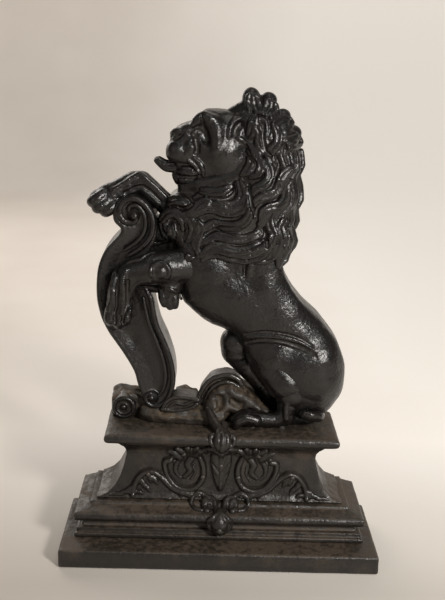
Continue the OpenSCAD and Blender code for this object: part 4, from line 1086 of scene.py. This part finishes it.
# %% Locks
def lock(points, strands=2, gap=2.3, r=1.6, lift=0.6, k=0.4):
    """A bundle of parallel strands along one drawn line, drawing together at its tip."""
    spine = curve(points, 4)
    along = np.gradient(spine, axis=0)
    along /= np.linalg.norm(along, axis=1)[:, None]
    square = np.stack([-along[:, 1], along[:, 0]], 1)
    t = np.linspace(0, 1, len(spine))
    spread = np.interp(t, [0, 0.2, 0.75, 1], [0.7, 1, 0.95, 0.25])
    thick = np.interp(t, [0, 0.15, 0.8, 1], [0.7, 1, 0.95, 0.5]) * r
    for n in range(strands):
        offset = (n - (strands - 1) / 2) * gap
        p = spine + square * (offset * spread)[:, None]
        crown = lift - 0.25 * abs(offset)
        rows = np.column_stack([p, thick])
        mane_line(rows[::2] if len(rows) > 9 else rows, crown, k)


def mane_line(rows, lift, k, remove=False):
    out = []
    for x, z, r in rows:
        y = 8.0
        for _ in range(3):
            px, pz = slid(x, z, 8.0, y)
            i = int(np.clip(round((px - mane.x[0]) / mane.step), 0, len(mane.x) - 1))
            j = int(np.clip(round((pz - mane.z[0]) / mane.step), 0, len(mane.z) - 1))
            y = float(mane_front[i, j])
        out.append([px, y - lift, pz, r])
    out = np.array(out)
    for _ in range(3):
        out[1:-1, 1] = (out[:-2, 1] + 2 * out[1:-1, 1] + out[2:, 1]) / 4
    mane.roll(out, k, remove)


LOCKS_UNDER = [
    ([(50, 322), (51, 312), (48, 304), (50, 296), (51, 286), (48, 278), (49, 270), (46, 262), (49, 254), (47, 246), (43, 238)], 2),
    ([(44, 328), (46, 318), (47, 308), (43, 300), (45, 290), (44, 282), (39, 275), (36, 268), (38, 258), (38, 248), (35, 240)], 2),
    ([(36, 334), (39, 326), (38, 318), (41, 311), (38, 303), (35, 296), (31, 289), (24, 285), (19, 279)], 2),
    ([(10, 350), (18, 346), (25, 344), (27, 336), (26, 330), (30, 325), (36, 321), (37, 314)], 2),
    ([(-46, 280), (-40, 283), (-34, 280), (-28, 275), (-22, 277), (-16, 282), (-10, 283), (-4, 283)], 2),
    ([(30, 300), (26, 294), (22, 291), (18, 284), (17, 276), (21, 270)], 2),
    ([(40, 262), (35, 256), (30, 250), (24, 244), (14, 241), (2, 241), (-8, 243)], 2),
    ([(44, 256), (44, 248), (42, 240), (38, 233)], 2),
    ([(-26, 283), (-18, 287), (-10, 287), (-2, 288), (4, 292)], 2),
    ([(-48, 272), (-50, 264), (-47, 256), (-42, 252)], 2),
]
LOCKS_OVER = [
    ([(16, 345), (14, 338), (13, 333), (10, 328)], 2),
    ([(9, 328), (14, 321), (15, 313), (12, 306), (7, 302)], 2),
    ([(16, 341), (20, 334), (20, 328), (23, 322), (30, 318)], 2),
    ([(16, 324), (19, 316), (22, 309), (20, 304), (14, 301)], 2),
    ([(31, 340), (34, 333), (33, 326), (28, 321), (29, 314), (32, 308), (28, 302)], 2),
    ([(24, 313), (28, 308), (29, 302), (25, 296), (19, 293), (17, 288)], 2),
    ([(45, 309), (40, 305), (37, 300), (36, 294), (32, 289), (25, 287), (19, 283), (17, 277)], 2),
    ([(44, 300), (41.6, 294), (41, 287), (37, 281), (30, 279), (25, 276), (23.6, 270), (24, 264), (20, 260)], 2),
    ([(6, 298), (8, 293), (9, 288), (6, 282), (0, 279), (-7, 279.6), (-12, 281)], 2),
    ([(14, 293), (13, 286), (10.6, 279), (5, 274.6), (-3, 274), (-10, 276), (-17, 276.6), (-23, 273), (-28, 269)], 2),
    ([(16, 277), (14, 271), (10, 266), (3, 263.6), (-5, 264), (-12, 265), (-17, 262), (-20, 256), (-21, 251)], 2),
    ([(24.4, 263), (23, 258.4), (15.4, 255), (8, 253.4), (-2, 254.4), (-10, 256), (-16, 253), (-22, 248.4)], 2),
    ([(27, 253), (21, 248), (13, 245), (5, 244), (-4, 246.6), (-12, 247.4), (-18, 243), (-23, 239)], 2),
    ([(31, 252), (29.4, 246), (23, 240.6), (12, 238), (1, 239.4), (-8, 242), (-15, 240), (-20, 236)], 2),
    ([(37, 250), (35, 243), (29, 238.4), (22, 236)], 2),
    ([(43, 264), (40.4, 256), (43, 247), (39.6, 239), (39, 232)], 2),
    ([(-26, 252), (-25, 245), (-29, 239), (-34, 236)], 2),
    ([(34, 278), (30, 271), (31, 264), (34, 258), (31, 251), (26, 246), (19, 243)], 2),
    ([(42, 270), (39, 263), (42, 255), (40, 247), (35, 242), (27, 240)], 2),
    ([(-34, 273), (-29, 273), (-25, 277), (-21, 281), (-16, 281), (-13, 277)], 2),
    ([(-51, 266), (-47, 271), (-42, 272.6), (-37, 270), (-34, 265), (-35, 259)], 2),
    ([(-46, 280), (-42, 282.6), (-37, 282), (-32, 279), (-29, 274)], 2),
    ([(-30, 268), (-27, 262), (-28, 256), (-32, 250)], 2),
    ([(-24, 266), (-21, 260), (-24, 254), (-26, 246), (-30, 241)], 2),
    ([(-44, 262), (-43, 257), (-45, 252)], 2),
    ([(-22, 290), (-14, 289), (-6, 290), (1, 294)], 2),
    ([(13, 351), (12, 357), (12.5, 363)], 2), ([(18, 349), (17, 356), (14.6, 362)], 2),
    ([(23, 348), (25, 354), (26, 359)], 2), ([(29, 345), (30, 351), (28, 357)], 2),
    ([(30, 340), (35, 343), (40, 346)], 2), ([(36, 336), (41, 340), (42, 346)], 2),
    ([(38, 330), (43, 332), (48, 334)], 2), ([(42, 325), (48, 327), (50, 332)], 2),
]
mane_front = np.minimum(mane.front(), body_skin(mane))
for line, strands in LOCKS_UNDER:
    lock(line, strands, 4.2, 2.7, 0.9)
mane_front = np.minimum(mane.front(), body_skin(mane))
for line, strands in LOCKS_OVER:
    lock(line, strands, 3.7, 2.3, 1.5)
print("locks:", len(LOCKS_UNDER) + len(LOCKS_OVER))
# Dark gaps between neighbouring locks, cut where the real ones part.
mane_front = np.minimum(mane.front(), body_skin(mane))
for line in ([(33, 286, 1.2), (24, 281, 1.7), (20.6, 276, 1.6), (21, 268, 1.2)],
             [(14, 295, 1.1), (15, 287, 1.6), (16.4, 280, 1.5), (19, 272, 1.2)],
             [(3, 296, 1.2), (4, 290, 1.6), (0, 285, 1.5), (-8, 283, 1.0)],
             [(27, 262, 1.0), (29, 255, 1.4), (30, 248, 1.1)],
             [(-18, 256, 1.2), (-10, 261, 1.6), (0, 261, 1.5), (8, 262, 1.0)],
             [(23, 340, 1.0), (23, 330, 1.4), (26, 320, 1.2), (33, 316, 1.0)],
             [(32, 312, 1.1), (35, 306, 1.5), (33, 299, 1.2)],
             [(11, 318, 1.0), (18, 312, 1.2), (17, 305, 1.0)],
             [(-30, 247, 2.0), (-29, 243, 2.4), (-26, 240, 1.6)],
             [(-38, 276, 1.4), (-33, 276, 1.8), (-28, 279, 1.4)],
             [(-45, 267, 1.4), (-41, 265, 1.8), (-40, 259, 1.4)],
             [(-33, 264, 1.4), (-32, 258, 1.8), (-34, 252, 1.4)]):
    mane_line(curve(line, 4), -0.2, 1.2, True)
mane.rough(6, 0.18, 31)
flat_back(mane)
mane.d = np.maximum(mane.d, (mane.z - 366.8)[None, None, :])
finish(skin(mane, "mane_casting", 1.6), "figure_iron", "mane")

# %% [markdown]
# ## Rivets
# Small domed rivets hold the applied ornament to the plinth. One head is turned on a lathe profile, and
# Geometry Nodes copy it to a point for every rivet. The points come from the frame: each separate solid
# in the CAD node gives one.


# %% Rivet heads
def solids_of(node):
    """The lowest and highest corner of each separate solid in a CAD node."""
    work = bmesh.new()
    work.from_mesh(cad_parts[node].data)
    bmesh.ops.remove_doubles(work, verts=work.verts, dist=1e-6)
    left, found = set(work.verts), []
    while left:
        group, edge_of_group = set(), [next(iter(left))]
        while edge_of_group:
            v = edge_of_group.pop()
            if v in group:
                continue
            group.add(v)
            edge_of_group += [e.other_vert(v) for e in v.link_edges]
        left -= group
        spots = np.array([v.co[:] for v in group])
        found.append((spots.min(0), spots.max(0)))
    work.free()
    return sorted(found, key=lambda pair: tuple(pair[0].round(5)))


def turned(profile, name, sides=20):
    """A closed turned shape along Y from (radius, depth) pairs; both ends lie on the axis."""
    rings = [[(r * math.cos(2 * math.pi * s / sides), y, r * math.sin(2 * math.pi * s / sides)) for s in range(sides)]
             for r, y in profile[1:-1]]
    verts = [(0, profile[0][1], 0)] + [v for ring in rings for v in ring] + [(0, profile[-1][1], 0)]
    faces = [(0, 1 + s, 1 + (s + 1) % sides) for s in range(sides)]
    for n in range(len(rings) - 1):
        a, b = 1 + n * sides, 1 + (n + 1) * sides
        faces += [(a + s, b + s, b + (s + 1) % sides, a + (s + 1) % sides) for s in range(sides)]
    last = 1 + (len(rings) - 1) * sides
    faces += [(len(verts) - 1, last + (s + 1) % sides, last + s) for s in range(sides)]
    mesh = bpy.data.meshes.new(name)
    mesh.from_pydata(verts, [], faces)
    work = bmesh.new()
    work.from_mesh(mesh)
    bmesh.ops.recalc_face_normals(work, faces=work.faces)
    work.to_mesh(mesh)
    work.free()
    mesh.polygons.foreach_set("use_smooth", np.ones(len(mesh.polygons), bool))
    return mesh


rivet_spots = solids_of("ornament_rivets")
rivet_r = float(np.mean([(high[0] - low[0]) / 2 for low, high in rivet_spots]))
rivet_long = float(np.mean([high[1] - low[1] for low, high in rivet_spots]))
head_rows = [(rivet_r * 1.35 * math.sin(a), rivet_r * 0.75 * (1 - math.cos(a))) for a in np.radians([0, 20, 40, 60, 78, 90])]
rivet_rows = head_rows + [(rivet_r * 0.95, rivet_r * 0.8), (rivet_r * 0.95, rivet_long * 0.92), (0, rivet_long * 0.95)]
rivet_object = bpy.data.objects.new("rivet_pattern", turned(rivet_rows, "rivet_pattern"))
print("rivets:", len(rivet_spots), "radius", round(rivet_r * 1000, 2), "mm")


def copies_tree():
    """A tree that puts one turned part at every point it is given."""
    tree = bpy.data.node_groups.new("rivet_copies", "GeometryNodeTree")
    tree.interface.new_socket("Geometry", in_out="INPUT", socket_type="NodeSocketGeometry")
    tree.interface.new_socket("Part", in_out="INPUT", socket_type="NodeSocketObject")
    size = tree.interface.new_socket("Size", in_out="INPUT", socket_type="NodeSocketFloat")
    size.default_value = 1
    seed = tree.interface.new_socket("Seed", in_out="INPUT", socket_type="NodeSocketInt")
    seed.default_value = 5
    tree.interface.new_socket("Finish", in_out="INPUT", socket_type="NodeSocketMaterial")
    tree.interface.new_socket("Geometry", in_out="OUTPUT", socket_type="NodeSocketGeometry")
    n, link = tree.nodes, tree.links.new
    start, end = n.new("NodeGroupInput"), n.new("NodeGroupOutput")
    points = n.new("GeometryNodeMeshToPoints")
    part = n.new("GeometryNodeObjectInfo")
    turn = n.new("FunctionNodeRandomValue")
    turn.data_type = "FLOAT"
    turn.inputs[2].default_value = 0
    turn.inputs[3].default_value = 6.28
    angle = n.new("ShaderNodeCombineXYZ")
    place = n.new("GeometryNodeInstanceOnPoints")
    real = n.new("GeometryNodeRealizeInstances")
    paint = n.new("GeometryNodeSetMaterial")
    link(start.outputs["Geometry"], points.inputs["Mesh"])
    link(start.outputs["Part"], part.inputs["Object"])
    link(start.outputs["Seed"], turn.inputs["Seed"])
    link(turn.outputs[1], angle.inputs["Y"])
    link(points.outputs["Points"], place.inputs["Points"])
    link(part.outputs["Geometry"], place.inputs["Instance"])
    link(angle.outputs[0], place.inputs["Rotation"])
    link(start.outputs["Size"], place.inputs["Scale"])
    link(place.outputs["Instances"], real.inputs["Geometry"])
    link(real.outputs["Geometry"], paint.inputs["Geometry"])
    link(start.outputs["Finish"], paint.inputs["Material"])
    link(paint.outputs["Geometry"], end.inputs["Geometry"])
    return tree


spots_mesh = bpy.data.meshes.new("rivet_spots")
spots_mesh.from_pydata([((low[0] + high[0]) / 2, low[1], (low[2] + high[2]) / 2) for low, high in rivet_spots], [], [])
rivets = run_tree(copies_tree(), spots_mesh, {"Part": rivet_object, "Size": 1.0, "Seed": 5,
                                              "Finish": IRON["fixing_steel"]}, "rivet_heads")
bpy.data.objects.remove(rivet_object)
finish(rivets, "fixing_steel", "ornament_rivets")
print("rivet faces:", len(rivets.data.polygons))

# %% [markdown]
# ## Covers, bolts, washers and pins
# The CAD shapes of the remaining parts are right as they are, so they stay and only get their finish.

# %% Finish the kept CAD parts
for node_name, slot in (("back_cover", "cover_iron"), ("scroll_cover", "cover_iron"), ("cover_screws", "fixing_steel"),
                        ("tie_bolts", "fixing_steel"), ("tie_washers", "fixing_steel"), ("dowel_pins", "fixing_steel")):
    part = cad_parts[node_name]
    if not part.material_slots:
        part.data.materials.append(IRON[slot])
    for place in part.material_slots:
        place.material = IRON[slot]
print("kept CAD parts finished")

# %% [markdown]
# ## Floor, backdrop and light
# A cream sheet runs along the floor and sweeps up far behind the stop; its far part glows with painted light and its
# colour is painted darker toward the left.
# A softbox to the right and above draws the narrow highlights and throws the shadow to the left; the room fills in the
# rest.


# %% Stage
def sweep_sheet():
    rows = [(-2.6, 0.0), (1.6, 0.0)]
    rows += [(1.6 + 0.6 * math.sin(a), 0.6 * (1 - math.cos(a))) for a in np.radians(np.arange(6, 91, 6))]
    rows += [(2.2, 2.8)]
    verts = [(x, y, z) for y, z in rows for x in (-3.2, 3.2)]
    faces = [(2 * i, 2 * i + 1, 2 * i + 3, 2 * i + 2) for i in range(len(rows) - 1)]
    mesh = bpy.data.meshes.new("backdrop")
    mesh.from_pydata(verts, [], faces)
    mesh.polygons.foreach_set("use_smooth", np.ones(len(mesh.polygons), bool))
    sheet = bpy.data.objects.new("backdrop", mesh)
    bpy.context.scene.collection.objects.link(sheet)
    material = bpy.data.materials.new("cream_sheet")
    material.use_nodes = True
    shader = material.node_tree.nodes["Principled BSDF"]
    # Painted shade: the sheet's colour is darker toward the left, where the light falls off, with faint soft blotches
    # painted as the shade of folds.
    nodes, links = material.node_tree.nodes, material.node_tree.links
    where = nodes.new("ShaderNodeTexCoord")
    split = nodes.new("ShaderNodeSeparateXYZ")
    links.new(where.outputs["Object"], split.inputs[0])
    painted_falloff = nodes.new("ShaderNodeMapRange")
    painted_falloff.inputs["From Min"].default_value = -0.35
    painted_falloff.inputs["From Max"].default_value = 0.35
    links.new(split.outputs["X"], painted_falloff.inputs["Value"])
    fold_shade = nodes.new("ShaderNodeTexNoise")
    fold_shade.inputs["Scale"].default_value = 5
    links.new(where.outputs["Object"], fold_shade.inputs["Vector"])
    share = nodes.new("ShaderNodeMath")
    share.operation = "MULTIPLY_ADD"
    links.new(fold_shade.outputs["Fac"], share.inputs[0])
    share.inputs[1].default_value = 0.35
    links.new(painted_falloff.outputs[0], share.inputs[2])
    tone = nodes.new("ShaderNodeMix")
    tone.data_type = "RGBA"
    links.new(share.outputs[0], tone.inputs["Factor"])
    tone.inputs[6].default_value = (0.56, 0.50, 0.44, 1)
    tone.inputs[7].default_value = (0.79, 0.745, 0.69, 1)
    links.new(tone.outputs[2], shader.inputs["Base Color"])
    # Painted light: the sheet glows, from nothing in front of the stop to full strength just behind it, in the sheet's
    # painted tone.
    depth = nodes.new("ShaderNodeMapRange")
    depth.inputs["From Min"].default_value = -0.07
    depth.inputs["From Max"].default_value = 0.22
    depth.inputs["To Max"].default_value = 0.56
    links.new(split.outputs["Y"], depth.inputs["Value"])
    links.new(tone.outputs[2], shader.inputs["Emission Color"])
    links.new(depth.outputs[0], shader.inputs["Emission Strength"])
    shader.inputs["Roughness"].default_value = 0.85
    shader.inputs["Specular IOR Level"].default_value = 0.2
    mesh.materials.append(material)
    return sheet


sweep_sheet()


def softbox(name, place, target, size, power, colour):
    data = bpy.data.lights.new(name, "AREA")
    data.shape = "RECTANGLE"
    data.size, data.size_y = size
    data.energy = power
    data.color = colour
    lamp = bpy.data.objects.new(name, data)
    lamp.location = place
    lamp.rotation_euler = (Vector(target) - Vector(place)).to_track_quat("-Z", "Y").to_euler()
    bpy.context.scene.collection.objects.link(lamp)


softbox("key", (0.56, -0.86, 0.64), (0, 0, 0.2), (0.15, 0.19), 9.6, (1.0, 0.965, 0.92))
softbox("fill", (-0.9, -1.1, 0.7), (0, 0, 0.2), (1.0, 1.0), 1.6, (1.0, 0.93, 0.87))
softbox("top", (0.15, -0.25, 1.4), (0, 0.05, 0.2), (0.6, 0.4), 1.8, (1.0, 0.96, 0.9))
softbox("rear", (-0.7, 1.1, 0.8), (0, 0, 0.2), (0.8, 0.8), 5, (1.0, 0.95, 0.9))
world = bpy.data.worlds.new("room")
bpy.context.scene.world = world
world.use_nodes = True
world.node_tree.nodes["Background"].inputs["Color"].default_value = (1.0, 0.93, 0.84, 1)
world.node_tree.nodes["Background"].inputs["Strength"].default_value = 0.12
bpy.context.scene.view_settings.view_transform = "Standard"
